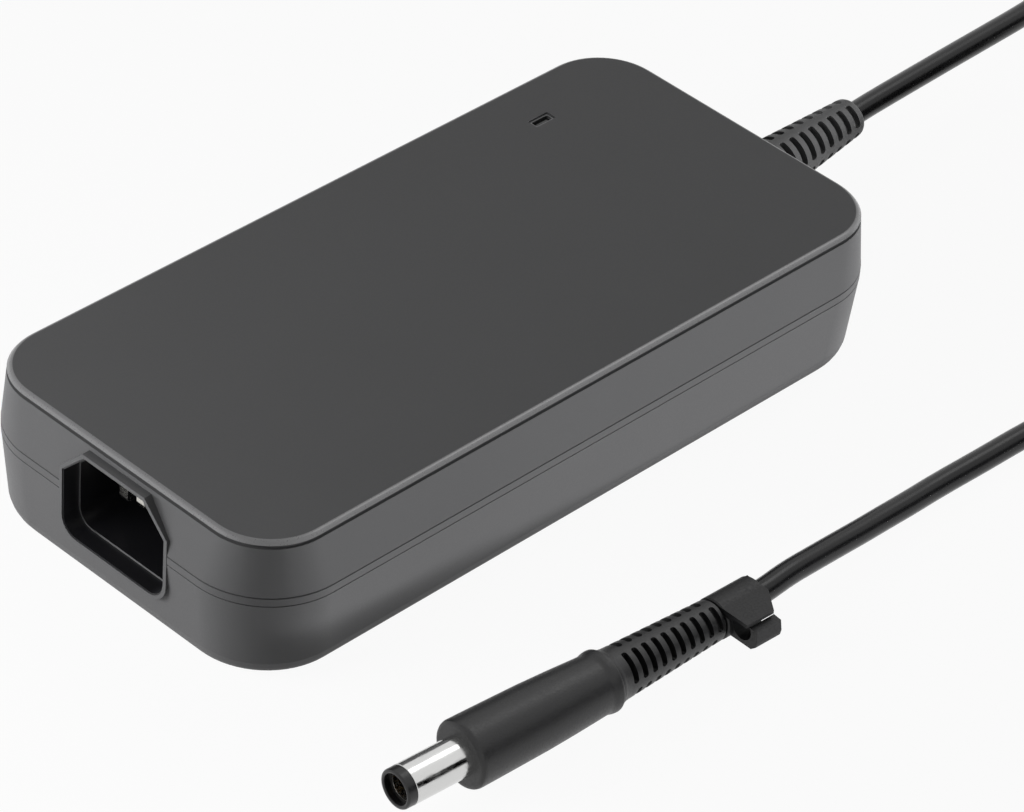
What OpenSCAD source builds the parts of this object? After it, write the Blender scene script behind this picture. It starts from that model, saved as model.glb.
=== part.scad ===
// Laptop power adapter: a welded two-part case round a switching supply, a mains inlet at -X,
// and a DC cord at +X that ends in a barrel plug with a wrap clip. Millimetres, +Z up,
// origin at the bottom centre of the case.

/* [Case] */
// Length of the case, along X
case_len = 156.7; // [152:0.1:180]
// Width of the case, along Y
case_wid = 76; // [74:0.5:90]
// Height of the case
case_ht = 29.8; // [29:0.1:36]
// Wall of both covers
wall = 2.2; // [1.8:0.1:2.4]
// Corner radius at the widest level, seen from above
corner_r = 16.1; // [14:0.1:18]
// Distance from the top face down to the line where the covers meet
split_drop = 11.2; // [10:0.1:12]
// How far the top cover's side leans in at the groove
top_draft = 1.25; // [0.8:0.05:1.6]
// How far the base cover's side leans in at its lower edge
base_draft = 1.5; // [1:0.1:2]
// How far the bottom face lies inside the widest level
base_inset = 4.3; // [3.5:0.1:5]
// How far the top face lies inside the widest level
top_inset = 2.2; // [2:0.1:2.6]
// Height of the rounded lower edge
base_round = 3.35; // [2.8:0.05:4]

/* [Lines in the case] */
// Distance from the top face down to the groove under the bevel
groove_drop = 0.7; // [0.6:0.05:0.9]
// Height of that groove
groove_ht = 0.85; // [0.6:0.05:1]
// Depth of that groove
groove_depth = 0.55; // [0.3:0.05:0.7]
// Height of the plain band under the parting line
band_ht = 1.7; // [1.2:0.1:2.2]
// Width and depth of the fine line under the band
line_size = 0.25; // [0.15:0.05:0.3]
// Height of the base cover's tongue inside the top cover
tongue_ht = 1.5; // [1:0.1:2]
// Clearance between pieces that are fitted together
fit_gap = 0.05; // [0.02:0.01:0.1]

/* [Mains inlet] */
// Width of the socket opening
socket_wid = 24.4; // [24.2:0.1:25]
// Height of the socket opening
socket_ht = 17.4; // [17:0.1:17.6]
// Size of the two chamfers at the top of the socket
socket_chamfer = 5; // [4.5:0.1:5.5]
// Radius of the two lower corners of the socket
socket_corner_r = 3; // [2:0.1:4]
// How far the opening in the case is wider than the socket, all round
aperture_grow = 0.65; // [0.5:0.05:0.8]
// Thickness of the housing's lip inside that opening
lip_t = 0.2; // [0.15:0.05:0.3]
// Sideways place of the inlet's centre
inlet_y = -1; // [-3:0.5:3]
// Gap between the inlet housing and the top cover's roof
inlet_clear = 0.4; // [0.2:0.05:0.6]
// How far the inlet's front edge lies behind the case's end
inlet_recess = 3.6; // [3.2:0.1:4.5]
// Depth of the socket behind the case's end
socket_depth = 20; // [18:0.5:22]
// Wall of the inlet housing
inlet_wall = 1; // [0.8:0.05:1.05]
// Thickness of the inlet housing's back
inlet_back_t = 2.4; // [1.8:0.1:3]
// Width of the raised frame round the opening
frame_wid = 0.75; // [0.5:0.05:1]
// How far that frame stands proud of the case's end
frame_proud = 0.1; // [0.05:0.05:0.3]
// Thickness of a contact pin
pin_t = 2; // [1.8:0.1:2.2]
// Height of a contact pin
pin_ht = 4; // [3.6:0.1:4.2]
// Distance between the line and the neutral pin
pin_pitch = 14; // [13:0.5:14.5]
// Height of the earth pin above the other two
earth_rise = 4; // [3.6:0.1:4.2]
// Depth of the line and neutral tips behind the case's end
pin_tip_depth = 8.7; // [7:0.1:10]
// Depth of the earth tip behind the case's end
earth_tip_depth = 6.2; // [5:0.1:7]
// Length of the solder tabs behind the inlet
tab_len = 6; // [4:0.5:7]

/* [Light] */
// Distance of the light from the case's end
light_end_gap = 29.35; // [26:0.05:32]
// Distance of the light from the case's side
light_side_gap = 13; // [12:0.5:15]
// Length of the slot that shows the light
slot_len = 4.1; // [3.5:0.1:5]
// Width of that slot
slot_wid = 1.45; // [1.2:0.05:1.8]
// Width of the sunk rim round the slot
slot_rim = 0.45; // [0.3:0.05:0.6]
// Depth of the sunk rim
rim_depth = 0.3; // [0.2:0.05:0.5]
// Depth of the lens below the rim
lens_depth = 0.5; // [0.3:0.1:0.8]

/* [Circuit] */
// Thickness of the circuit board
board_t = 1.6; // [1.2:0.1:1.6]
// Space under the board for its solder joints
solder_gap = 2; // [1.8:0.1:2.4]
// Thickness of each heat spreader
spreader_t = 0.8; // [0.5:0.1:1]
// Thickness of the insulating film
film_t = 0.4; // [0.2:0.1:0.5]
// Thickness of a thermal pad
pad_t = 1; // [0.6:0.1:1.2]
// Space over the bulk capacitor
bulk_clear = 1.4; // [1:0.1:3]
// Space over each output capacitor
outcap_clear = 1; // [0.5:0.1:3]
// Thickness of a heatsink's plate
sink_t = 2; // [1.5:0.1:2.2]

/* [Cord] */
// Diameter of the DC cord
cord_d = 4.5; // [4:0.1:4.6]
// Gap between neighbouring turns of the coil
wind_gap = 0.5; // [0.42:0.02:0.6]
// Turns in each of the coil's four layers
layer_turns = 2.3125; // [2.3125]
// Radius at the middle of the coil's turns
coil_mid_r = 26; // [25:0.5:27]
// Thickness of the strap round the coil
strap_t = 0.9; // [0.6:0.1:1.2]
// Width of that strap
strap_wid = 10; // [6:0.5:12]

/* [Case strain relief] */
// Length outside the case
relief_len = 29.1; // [26:0.1:32]
// Diameter at the case
relief_d1 = 11.8; // [11:0.1:12.6]
// Diameter at the free end
relief_d2 = 7.8; // [7.4:0.1:8.6]
// Distance from one slot to the next
relief_pitch = 2.8; // [2.5:0.05:3.1]
// Width of a slot along the cord
relief_slot = 1.45; // [1.1:0.05:1.6]
// Length of the plain collar at the free end
relief_collar = 1.7; // [1.4:0.1:2.4]
// Sideways place of the relief's middle at the case
relief_y = -1.45; // [-3:0.05:3]
// Sideways bend of the relief, in degrees
relief_turn = 2.8; // [0:0.1:4]
// Rise of the relief, in degrees
relief_rise = 1.4; // [0:0.1:3]

/* [Plug] */
// Diameter of the barrel
barrel_d = 7.4; // [7:0.1:7.6]
// Length of the insulating ring at the tip
tip_ring = 1.9; // [1.5:0.1:2.5]
// Length from the tip to the moulded body
barrel_len = 13.7; // [12:0.1:15]
// Bore of the inner contact
contact_bore_d = 5; // [4.8:0.1:5]
// Diameter of the centre pin
center_pin_d = 0.8; // [0.6:0.1:1]
// Diameter of the body at its front
body_d1 = 12.6; // [12:0.1:13.2]
// Diameter of the body at its back
body_d2 = 10.9; // [10.6:0.1:11.6]
// Length of the body, to the back of its rib
body_len = 31.7; // [29:0.1:35]
// Diameter of the rib at the back of the body
rib_d = 11.5; // [11.3:0.1:12]
// Length of the plug's ribbed relief, from the rib
tail_len = 26.8; // [24:0.1:30]
// Diameter of that relief at the rib
tail_d1 = 9.6; // [9:0.1:10.2]
// Diameter of that relief at its free end
tail_d2 = 7.7; // [7.2:0.1:8.2]
// Distance from one slot to the next
tail_pitch = 2.35; // [2.1:0.05:2.5]
// Width of a slot along the cord
tail_slot = 1.2; // [0.9:0.05:1.3]

/* [Wrap clip] */
// Length of the sleeve on the cord
clip_len = 10; // [9:0.1:12]
// Outer diameter of the sleeve
clip_d = 7.8; // [7.2:0.1:8.4]
// Radial clearance of the sleeve on the cord
clip_gap = 0.06; // [0.03:0.01:0.1]
// Diameter of the channel that takes the wrapped cord
channel_d = 4; // [3.6:0.1:4.2]
// Reach of the upper jaw from the cord's middle
jaw_reach = 7.7; // [7:0.1:8.5]
// Reach of the lower jaw from the cord's middle
lower_reach = 9.4; // [8.8:0.1:10]

/* [Hidden] */
tiny = 0.01;
more = 1; // how far a cutter runs past what it cuts
cord_r = cord_d / 2;
end_x = case_len / 2;
side_y = case_wid / 2;

// Levels of the case, from the bottom up
split_z = case_ht - split_drop;
band_z = split_z - band_ht;
groove_top = case_ht - groove_drop;
groove_low = groove_top - groove_ht;
floor_z = wall;
ceiling_z = case_ht - wall;

// Levels of the circuit
film_low_z = floor_z + spreader_t;
board_z = film_low_z + film_t + solder_gap;
board_top = board_z + board_t;
film_high_z = ceiling_z - spreader_t - film_t;
part_ht = film_high_z - board_top;
cooled_ht = part_ht - pad_t;
bulk_d = part_ht - bulk_clear;

// The inlet
inlet_z = ceiling_z - inlet_clear - inlet_wall - socket_ht / 2;
lip_front = -end_x + 0.1;
lip_grow = aperture_grow - fit_gap;
sleeve_front = -end_x + top_draft + 0.6;
inlet_front = -end_x + inlet_recess;
socket_back = -end_x + socket_depth;
inlet_back = socket_back + inlet_back_t;
tab_end = inlet_back + tab_len;
collar_wid = 0.9;
blade_z = inlet_z - earth_rise / 2;
earth_z = inlet_z + earth_rise / 2;

// The board and the spreaders stop short of the inlet, the walls and the relief's flange
board_x0 = inlet_back + 1.5;
board_x1 = end_x - 6.5;
board_y = side_y - 5;
post_r = 2.6;
post_x = [board_x0 + 4, board_x1 - 4];
post_y = board_y - 4;
spreader_x = [post_x[0] + post_r + 1, post_x[1] - post_r - 1];
spreader_y = side_y - 6.5;

// Parts on the board are placed and sized in steps of the board's own length, width and height
step_x = (board_x1 - board_x0) / 126.3;
step_y = board_y / 33;
step_z = part_ht / 19.4;
step_r = min(step_x, step_y);

// The light and its guide
light_x = end_x - light_end_gap;
light_y = side_y - light_side_gap;
lens_len = slot_len - 2 * fit_gap;
lens_wid = slot_wid - 2 * fit_gap;
guide_flange = 1.4;
guide_d = 3;
led_ht = 1.9;

// The case's strain relief
relief_z = band_z + 0.3;
relief_at = [end_x, relief_y, relief_z];
relief_dir = [cos(relief_rise) * cos(relief_turn), cos(relief_rise) * sin(relief_turn), sin(relief_rise)];
relief_flange_r = relief_d1 / 2 + 1.8;
flange_t = 2;
flange_x = end_x - wall - 1 - flange_t;
slot_floor = cord_r + 0.6;
relief_start = 0.35; // the bent part starts this far from the case
jacket_in = end_x - flange_x + 4;
jacket_at = relief_at - jacket_in * relief_dir;
wires_at = [for (v = jacket_at - [0.2, 0, 0]) round(20 * v) / 20]; // just clear of the jacket's end
relief_end = relief_at + relief_len * relief_dir;

// The plug lies on its body: its tip, its heading and the heading of its relief
plug_tip = [-80, -71.96, body_d1 / 2];
plug_turn = -3.9;
tail_turn = -0.9;
tail_droop = 1.8;
rib_s = barrel_len + body_len;
plug_dir = [cos(plug_turn), sin(plug_turn), 0];
tail_dir = [cos(tail_droop) * cos(tail_turn), cos(tail_droop) * sin(tail_turn), -sin(tail_droop)];
neck_at = plug_tip + (rib_s - 1) * plug_dir;
tail_end = neck_at + tail_len * tail_dir;
core_len = 7;
shoulder_s = barrel_len + 6;
clip_from = 0.3;

// The coil lies on its strap, four layers high, its inlet end on the top layer
turn_pitch = cord_d + wind_gap;
coil_turns = 4 * layer_turns;
coil_r_out = coil_mid_r + turn_pitch * layer_turns / 2;
coil_r_in = coil_mid_r - turn_pitch * layer_turns / 2;
coil_at = [163, -55];
coil_low_z = cord_r + strap_t + 0.15;
coil_top_z = coil_low_z + 3 * turn_pitch;
coil_start = [coil_at[0] + coil_r_out, coil_at[1], coil_top_z];
coil_finish = [coil_at[0], coil_at[1] - coil_r_out, coil_low_z];
strap_at = 135;
rings_per_turn = 24;

// The cord's free stretches. The first and last points follow the pieces that they meet.
lead_route = concat([relief_end, relief_end + cord_d * relief_dir], [
    [117, 0.35, 18.1], [122.5, 0.5, 18.15], [128.5, 0.7, 18.15], [138, 1, 18.15], [149, 1.3, 18.15],
    [156, 1.5, 18.15], [165, 1.8, 18.2], [172, 1.5, 18.2], [180, -0.2, 18.2], [187.5, -5, 18.2],
    [192.5, -12.5, 18.3], [194.6, -21.5, 18.3], [194.7, -30, 18.3], [194.7, -40, 18.3]],
    [coil_start + [0, cord_d, 0]]);
tail_route = concat([tail_end, tail_end + 5.8 * tail_dir, tail_end + 11.6 * tail_dir], [
    [11, -75.1, 5], [17.5, -74.8, 4.5], [24, -74.5, 3.9], [30.5, -74.3, 3.4], [37, -74.05, 2.95],
    [43.5, -73.9, 2.6], [51, -73.7, 2.3],
    [63, -74, 2.25], [74.5, -74.3, 2.25], [88, -75.2, 2.25], [102, -76.9, 2.25],
    [116, -79.5, 2.3], [130, -82.6, 2.5], [142, -85, 2.8], [151, -86.4, 3.1]],
    [coil_finish - [cord_d, 0, 0]]);

case_grey = "#565656";
black = "#1d1d1d";
copper = "#b8703a";
steel = "#c8c8c8";
board_green = "#1f5a3a";

// ---------------------------------------------------------------- shared shapes

// A closed shape that follows the case's outline. Its edge is given from the bottom up as
// [z, inset from the widest outline]; the corner's radius shrinks by the same inset.
module outline_body(edge) {
    cx = end_x - corner_r;
    cy = side_y - corner_r;
    z0 = edge[0][0];
    z1 = edge[len(edge) - 1][0];
    quarter = concat([[0, z0]], [for (e = edge) [corner_r - e[1], e[0]]], [[0, z1]]);
    right = [for (e = edge) [side_y - e[1], e[0]]];
    left = [for (i = [len(edge) - 1 : -1 : 0]) [edge[i][1] - side_y, edge[i][0]]];
    translate([-cx, 0, 0])
        rotate([90, 0, 90])
            linear_extrude(2 * cx) polygon(concat(right, left));
    for (turn = [0, 180])
        rotate([0, 0, turn])
            translate([cx, cy, 0])
                rotate([90, 0, 0])
                    linear_extrude(2 * cy) polygon(quarter);
    for (k = [0 : 3])
        translate([k == 0 || k == 3 ? cx : -cx, k < 2 ? cy : -cy, 0])
            rotate([0, 0, 90 * k])
                rotate_extrude(angle = 90, $fn = 20) polygon(quarter);
}

// The socket's outline, grown by g, with X across and Y up
module socket_outline(g) {
    w = socket_wid / 2 + g;
    h = socket_ht / 2 + g;
    c = socket_chamfer + g * (2 - sqrt(2));
    r = socket_corner_r + g;
    corner = [for (a = [0 : 15 : 90]) [w - r + r * cos(a), r - h - r * sin(a)]];
    polygon(concat([[w, h - c]], corner, [for (i = [6 : -1 : 0]) [-corner[i][0], corner[i][1]]],
        [[-w, h - c], [c - w, h], [w - c, h]]));
}

// The socket's outline as a prism along X
module socket_prism(x0, x1, g) {
    translate([x0, inlet_y, inlet_z])
        rotate([90, 0, 90])
            linear_extrude(x1 - x0)
                socket_outline(g);
}

function around(middle, reach) = [middle - reach, middle + reach];

module box(x, y, z) {
    translate([x[0], y[0], z[0]])
        cube([x[1] - x[0], y[1] - y[0], z[1] - z[0]]);
}

// A block that stands on the board, centred on x and y
module on_board(x, y, size) {
    translate([x - size[0] / 2, y - size[1] / 2, board_top])
        cube(size);
}

// Slots cut into a relief round the local Z axis, in four rows a quarter turn apart. Every other
// row starts later by a share of the pitch, and is then one slot shorter.
module slot_rows(count, pitch, width, floor_r, reach, late = 0) {
    spread = tan(36); // each slot reaches this far to both sides, for each unit of radius
    for (row = [0 : 3], i = [0 : count - (row % 2) * ceil(late) - 1])
        rotate([0, 0, 45 + 90 * row])
            translate([0, 0, (i + (row % 2) * late) * pitch])
                linear_extrude(width)
                    polygon([[floor_r, -floor_r * spread], [reach, -reach * spread],
                        [reach, reach * spread], [floor_r, floor_r * spread]]);
}

// ---------------------------------------------------------------- case

// The space inside each cover
low_space = [[floor_z, base_inset + wall * 0.5], [base_round + wall * 0.5, base_draft + wall],
    [band_z, wall], [split_z + tongue_ht + more, wall]];
high_space = [[split_z - more, wall], [split_z, wall], [ceiling_z, top_draft + wall]];

// The frame round the inlet, and the collar behind it that holds the inlet's sleeve
module inlet_surround() {
    difference() {
        union() {
            socket_prism(-end_x - frame_proud, sleeve_front - fit_gap, aperture_grow + frame_wid);
            socket_prism(sleeve_front - 0.5, inlet_front - fit_gap, inlet_wall + collar_wid);
        }
        socket_prism(-end_x - frame_proud - more, inlet_front + more, aperture_grow);
        socket_prism(sleeve_front - fit_gap, inlet_front + more, inlet_wall + fit_gap);
    }
}

// The face inside the wall that the relief's flange bears on
module flange_seat() {
    seat_x = flange_x + flange_t;
    translate([seat_x, relief_y, relief_z])
        rotate([0, 90, 0])
            difference() {
                cylinder(end_x - wall / 2 - seat_x, r = relief_flange_r, $fn = 20);
                translate([0, 0, -more])
                    cylinder(wall + 2 * more, r = relief_d1 / 2 + fit_gap, $fn = 20);
            }
}

module wall_openings() {
    socket_prism(-end_x - more, sleeve_front, aperture_grow + frame_wid / 2);
    socket_prism(sleeve_front - fit_gap, inlet_front, inlet_wall + fit_gap);
    translate([end_x - wall - more, relief_y, relief_z])
        rotate([0, 90, 0])
            cylinder(wall + 2 * more, r = relief_d1 / 2 + fit_gap, $fn = 20);
}

module base_cover() color(case_grey) {
    difference() {
        outline_body([[0, base_inset], [base_round * 0.14, base_inset - 1.4],
            [base_round * 0.45, base_draft + 0.45], [base_round, base_draft],
            [band_z - line_size, 0], [band_z - line_size, line_size], [band_z, line_size], [band_z, 0],
            [split_z, 0], [split_z, wall / 2 + fit_gap], [split_z + tongue_ht, wall / 2 + fit_gap]]);
        outline_body(low_space);
        wall_openings();
        box([-end_x, 12 - end_x], [inlet_y - 16, inlet_y + 16], [split_z, split_z + 3]);
        box([end_x - 6, end_x], around(relief_y, relief_flange_r), [split_z, split_z + 3]);
    }
    intersection() {
        union() {
            inlet_surround();
            flange_seat();
        }
        box([-end_x - 5, end_x + 5], [-side_y, side_y], [0, split_z]);
    }
    // Posts under the board, and ribs under the inlet
    for (x = post_x, y = [-post_y, post_y])
        translate([x, y, floor_z - tiny])
            cylinder(board_z - floor_z + tiny, r = post_r, $fn = 16);
    for (x = [inlet_front + 2.5, inlet_back - 4])
        box([x, x + 1.5], [inlet_y - 9, inlet_y + 9],
            [floor_z - tiny, inlet_z - socket_ht / 2 - inlet_wall]);
}

module top_cover() color(case_grey) {
    difference() {
        outline_body([[split_z, 0], [groove_low, top_draft], [groove_top, top_draft + groove_depth],
            [groove_top, top_draft + 0.1], [groove_top + groove_drop * 0.5, top_inset - 0.55],
            [case_ht, top_inset]]);
        outline_body(high_space);
        outline_body([[split_z - more, wall / 2], [split_z + tongue_ht + fit_gap, wall / 2]]);
        wall_openings();
        // The light's slot and its sunk rim
        translate([light_x, light_y, ceiling_z - more])
            slot_shape(slot_len, slot_wid, wall + 2 * more);
        translate([light_x, light_y, case_ht - rim_depth])
            slot_shape(slot_len + 2 * slot_rim, slot_wid + 2 * slot_rim, more);
    }
    intersection() {
        union() {
            inlet_surround();
            flange_seat();
        }
        box([-end_x - 5, end_x + 5], [-side_y, side_y], [split_z, case_ht]);
    }
    // Posts that hold the board down
    for (x = post_x, y = [-post_y, post_y])
        translate([x, y, board_top])
            cylinder(ceiling_z - board_top + tiny, r = post_r, $fn = 16);
}

// A slot with small rounded corners, lying along X
module slot_shape(l, w, h) {
    r = 0.3;
    translate([-l / 2, r - w / 2, 0]) cube([l, w - 2 * r, h]);
    translate([r - l / 2, -w / 2, 0]) cube([l - 2 * r, w, h]);
    for (sx = [-1, 1], sy = [-1, 1])
        translate([sx * (l / 2 - r), sy * (w / 2 - r), 0])
            cylinder(h, r = r, $fn = 16);
}

module light_guide() color("#8f8f8f") {
    translate([light_x, light_y, ceiling_z - tiny])
        slot_shape(lens_len, lens_wid, wall - rim_depth - lens_depth + tiny);
    translate([light_x, light_y, ceiling_z - guide_flange])
        slot_shape(slot_len + 2.4, slot_wid + 2.4, guide_flange);
    translate([light_x, light_y, board_top + led_ht + 0.3])
        cylinder(ceiling_z - board_top - led_ht - 0.3 - guide_flange + tiny, d = guide_d, $fn = 16);
}

module status_led() color("#e9e9df")
    on_board(light_x, light_y, [3.2, 2.8, led_ht]);

// ---------------------------------------------------------------- mains inlet

module inlet_housing() color(black) difference() {
    union() {
        socket_prism(lip_front, sleeve_front + tiny, lip_grow);
        socket_prism(sleeve_front, inlet_back, inlet_wall);
    }
    socket_prism(lip_front - more, inlet_front, lip_grow - lip_t);
    socket_prism(inlet_front - more, socket_back, 0);
    for (s = [-1, 1])
        pin_blade(inlet_y + s * pin_pitch / 2, blade_z, socket_back - more, inlet_back + more);
    pin_blade(inlet_y, earth_z, socket_back - more, inlet_back + more);
}

module pin_blade(y, z, x0, x1)
    box([x0, x1], [y - pin_t / 2, y + pin_t / 2], [z - pin_ht / 2, z + pin_ht / 2]);

// A contact pin: a blade with a chamfered tip, and a thinner solder tab behind the inlet
module contact_pin(y, z, tip) color(steel) {
    half = pin_ht / 2;
    translate([0, y + pin_t / 2, z])
        rotate([90, 0, 0])
            linear_extrude(pin_t)
                polygon([[tip, 0.9 - half], [tip + 0.9, -half], [inlet_back, -half],
                    [inlet_back, half], [tip + 0.9, half], [tip, half - 0.9]]);
    box([inlet_back, tab_end], [y - 0.4, y + 0.4], [z - pin_ht / 2, z + pin_ht / 2]);
}

module line_pin() contact_pin(inlet_y - pin_pitch / 2, blade_z, pin_tip_depth - end_x);
module neutral_pin() contact_pin(inlet_y + pin_pitch / 2, blade_z, pin_tip_depth - end_x);
module earth_pin() contact_pin(inlet_y, earth_z, earth_tip_depth - end_x);

// A wire from a tab's end, round a bend and down onto the board
module inlet_wire(y, z, shade) color(shade) {
    r = 1.1;
    bend = 2.2;
    translate([tab_end, y, z]) rotate([0, 90, 0]) cylinder(1, r = r, $fn = 16);
    translate([tab_end + 1, y, z - bend])
        rotate([90, 0, 0])
            rotate_extrude(angle = 90, $fn = 16)
                translate([bend, 0]) circle(r, $fn = 16);
    translate([tab_end + 1 + bend, y, board_top]) cylinder(z - bend - board_top, r = r, $fn = 16);
}

module line_wire() inlet_wire(inlet_y - pin_pitch / 2, blade_z, "#6b3f22");
module neutral_wire() inlet_wire(inlet_y + pin_pitch / 2, blade_z, "#2a5fa8");
module earth_wire() inlet_wire(inlet_y, earth_z, "#7fa22c");

// ---------------------------------------------------------------- board, film and spreaders

module plate(x0, x1, y, z, t, r = 3) {
    box([x0 + r, x1 - r], [-y, y], [z, z + t]);
    for (x = [x0, x1 - r])
        box([x, x + r], [r - y, y - r], [z, z + t]);
    for (x = [x0 + r, x1 - r], sy = [-1, 1])
        translate([x, sy * (y - r), z]) cylinder(t, r = r, $fn = 16);
}

module circuit_board() color(board_green) plate(board_x0, board_x1, board_y, board_z, board_t, 8);
module lower_heat_spreader() color(steel)
    plate(spreader_x[0], spreader_x[1], spreader_y, floor_z, spreader_t);
module lower_film() color("#e8e2c8")
    plate(spreader_x[0] - 0.5, spreader_x[1] + 0.5, spreader_y + 0.5, film_low_z, film_t);

// The upper pair has an opening for the light guide's flange
module upper_plate(x0, x1, y, z, t) difference() {
    plate(x0, x1, y, z, t);
    translate([light_x, light_y, z - more])
        slot_shape(slot_len + 3.4, slot_wid + 3.4, t + 2 * more);
}

module upper_heat_spreader() color(steel)
    upper_plate(spreader_x[0], spreader_x[1], spreader_y, ceiling_z - spreader_t, spreader_t);
module upper_film() color("#e8e2c8")
    upper_plate(spreader_x[0] - 0.5, spreader_x[1] + 0.5, spreader_y + 0.5, film_high_z, film_t);

// ---------------------------------------------------------------- mains side

// A place on the board, from its mains end and from its middle line
function at_x(v) = board_x0 + v * step_x;
function at_y(v) = v * step_y;

module fuse() color("#d9d2bf")
    translate([at_x(10), at_y(29.5), board_top + 3 * step_r])
        rotate([0, 90, 0]) cylinder(18 * step_x, r = 3 * step_r, $fn = 20);

// A disc on two leads, standing along X
module disc_part(x, y, r, t) {
    disc_r = r * min(step_r, step_z);
    translate([at_x(x), at_y(y) - t * step_y / 2, board_top + disc_r + 1])
        rotate([-90, 0, 0]) cylinder(t * step_y, r = disc_r, $fn = 20);
    for (s = [-1, 1])
        translate([at_x(x) + s * disc_r * 0.4, at_y(y), board_top])
            cylinder(disc_r * 0.2 + 1, r = 0.4, $fn = 16);
}

module varistor() color("#3567a0") disc_part(26, 17, 6.5, 4);
module thermistor() color("#2f5b3c") disc_part(17, -15, 6.5, 4.5);
module x_capacitor() color("#c9b24a")
    on_board(at_x(21), at_y(-24.5), [20 * step_x, 11 * step_y, 15 * step_z]);
module y_capacitors() color("#3a78b8") {
    disc_part(12, 23.5, 4.2, 3.5);
    disc_part(23.5, 23.5, 4.2, 3.5);
}

choke_at = [at_x(21.5), 0];
choke_core_r = [5.5 * step_r, 9.5 * step_r];
choke_wire_t = 1.9 * step_r;
choke_core_z = [choke_wire_t, choke_wire_t + 8 * step_z];

module choke_core() color("#3b3b3b")
    translate([choke_at[0], choke_at[1], board_top])
        rotate_extrude($fn = 16)
            translate([choke_core_r[0], choke_core_z[0]])
                square([choke_core_r[1] - choke_core_r[0], choke_core_z[1] - choke_core_z[0]]);

// Two enamelled windings, each over two fifths of the ring
module choke_windings() color(copper)
    for (turn = [18, 198])
        translate([choke_at[0], choke_at[1], board_top])
            rotate([0, 0, turn])
                rotate_extrude(angle = 144, $fn = 16)
                    ring_section(choke_core_r, choke_core_z, fit_gap, choke_wire_t);

// A wire layer of thickness t round a rectangular core section, clear of it by gap
module ring_section(r, z, gap, t) difference() {
    translate([r[0] - t, z[0] - t]) square([r[1] - r[0] + 2 * t, z[1] - z[0] + 2 * t]);
    translate([r[0] - gap, z[0] - gap]) square([r[1] - r[0] + 2 * gap, z[1] - z[0] + 2 * gap]);
}

// An angled heatsink along one side of the board, its flange turned over the parts on it
sink_y = at_y(-32.5);
sink_flange = 6.5 * step_y;
package_y = sink_y + sink_t;
package_ht = 12 * step_z;

module side_sink(x0, x1) {
    translate([at_x(x0), sink_y, board_top])
        rotate([90, 0, 90])
            linear_extrude((x1 - x0) * step_x)
                polygon([[0, 0], [sink_t, 0], [sink_t, cooled_ht - sink_t],
                    [sink_flange, cooled_ht - sink_t], [sink_flange, cooled_ht], [0, cooled_ht]]);
}

// A flat power package against a heatsink's face, on three leads
module power_package(x, wid, t) {
    translate([at_x(x) - wid * step_x / 2, package_y, board_top + 2])
        cube([wid * step_x, t * step_y, package_ht]);
    for (k = [-1 : 1])
        translate([at_x(x) + k * 2.54 - 0.4, package_y + t * step_y / 2 - 0.3, board_top])
            cube([0.8, 0.6, 2]);
}

module primary_heatsink() color("#b9bcc0") side_sink(37.5, 85.5);
module bridge_rectifier() color("#2a2a2a") power_package(48.5, 20, 4);
module primary_transistors() color("#2a2a2a") {
    power_package(66.5, 10, 4.4);
    power_package(78.5, 10, 4.4);
}

module bulk_capacitor() color("#2b3350")
    translate([at_x(37.5), at_y(-24) + bulk_d / 2, board_top + bulk_d / 2]) {
        rotate([0, 90, 0]) cylinder(40 * step_x, d = bulk_d, $fn = 24);
        for (s = [-1, 1])
            translate([-2, s * 3.5, -bulk_d / 2]) {
                cylinder(bulk_d / 2 + 0.4, r = 0.4, $fn = 16);
                translate([0, 0, bulk_d / 2]) rotate([0, 90, 0]) cylinder(2, r = 0.4, $fn = 16);
            }
    }

control_t = 1;
control_y = at_y(-24) + bulk_d + 1;
module control_board() color(board_green)
    translate([at_x(38.5), control_y, board_top]) cube([30 * step_x, control_t, 14 * step_z]);
module control_chips() color("#262626")
    for (x = [42, 51, 60])
        translate([at_x(x), control_y + control_t, board_top + 5 * step_z])
            cube([5 * step_x, 1.6, 4 * step_z]);

// ---------------------------------------------------------------- wound cores

// A pot-shaped ferrite core on the board: two plates, two outer legs and a round centre leg
module pot_core(at, size, leg_r, window_r) {
    window_ht = cooled_ht - 2 * core_plate;
    translate([at[0], at[1], board_top]) {
        difference() {
            translate([-size[0] / 2, -size[1] / 2, 0]) cube([size[0], size[1], cooled_ht]);
            translate([0, 0, core_plate]) cylinder(window_ht, r = window_r, $fn = 24);
            translate([-window_r * 0.62, -size[1] / 2 - more, core_plate])
                cube([window_r * 1.24, size[1] + 2 * more, window_ht]);
        }
        translate([0, 0, core_plate - tiny]) cylinder(window_ht + 2 * tiny, r = leg_r, $fn = 24);
    }
}

// A ring round the centre leg, from radius r0 to r1 and height z0 to z1 above the board
module leg_ring(at, r0, r1, z0, z1) {
    translate([at[0], at[1], board_top])
        rotate_extrude($fn = 20)
            translate([r0, z0]) square([r1 - r0, z1 - z0]);
}

core_plate = 3.2 * step_z;
pfc_at = [at_x(47.5), at_y(18)];
pfc_leg_r = 5 * step_r;
transformer_at = [at_x(79.5), at_y(16)];
transformer_leg_r = 6 * step_r;
reel_t = 0.8 * step_r;
reel_r = transformer_leg_r + fit_gap;
reel_edge_r = 12 * step_r;

module pfc_core() color("#3b3b3b")
    pot_core(pfc_at, [27 * step_x, 22 * step_y], pfc_leg_r, 11 * step_r);
module pfc_winding() color(copper)
    leg_ring(pfc_at, pfc_leg_r + fit_gap, 10.5 * step_r, core_plate, cooled_ht - core_plate);
module transformer_core() color("#3b3b3b")
    pot_core(transformer_at, [30 * step_x, 26 * step_y], transformer_leg_r, 12.4 * step_r);

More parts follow.
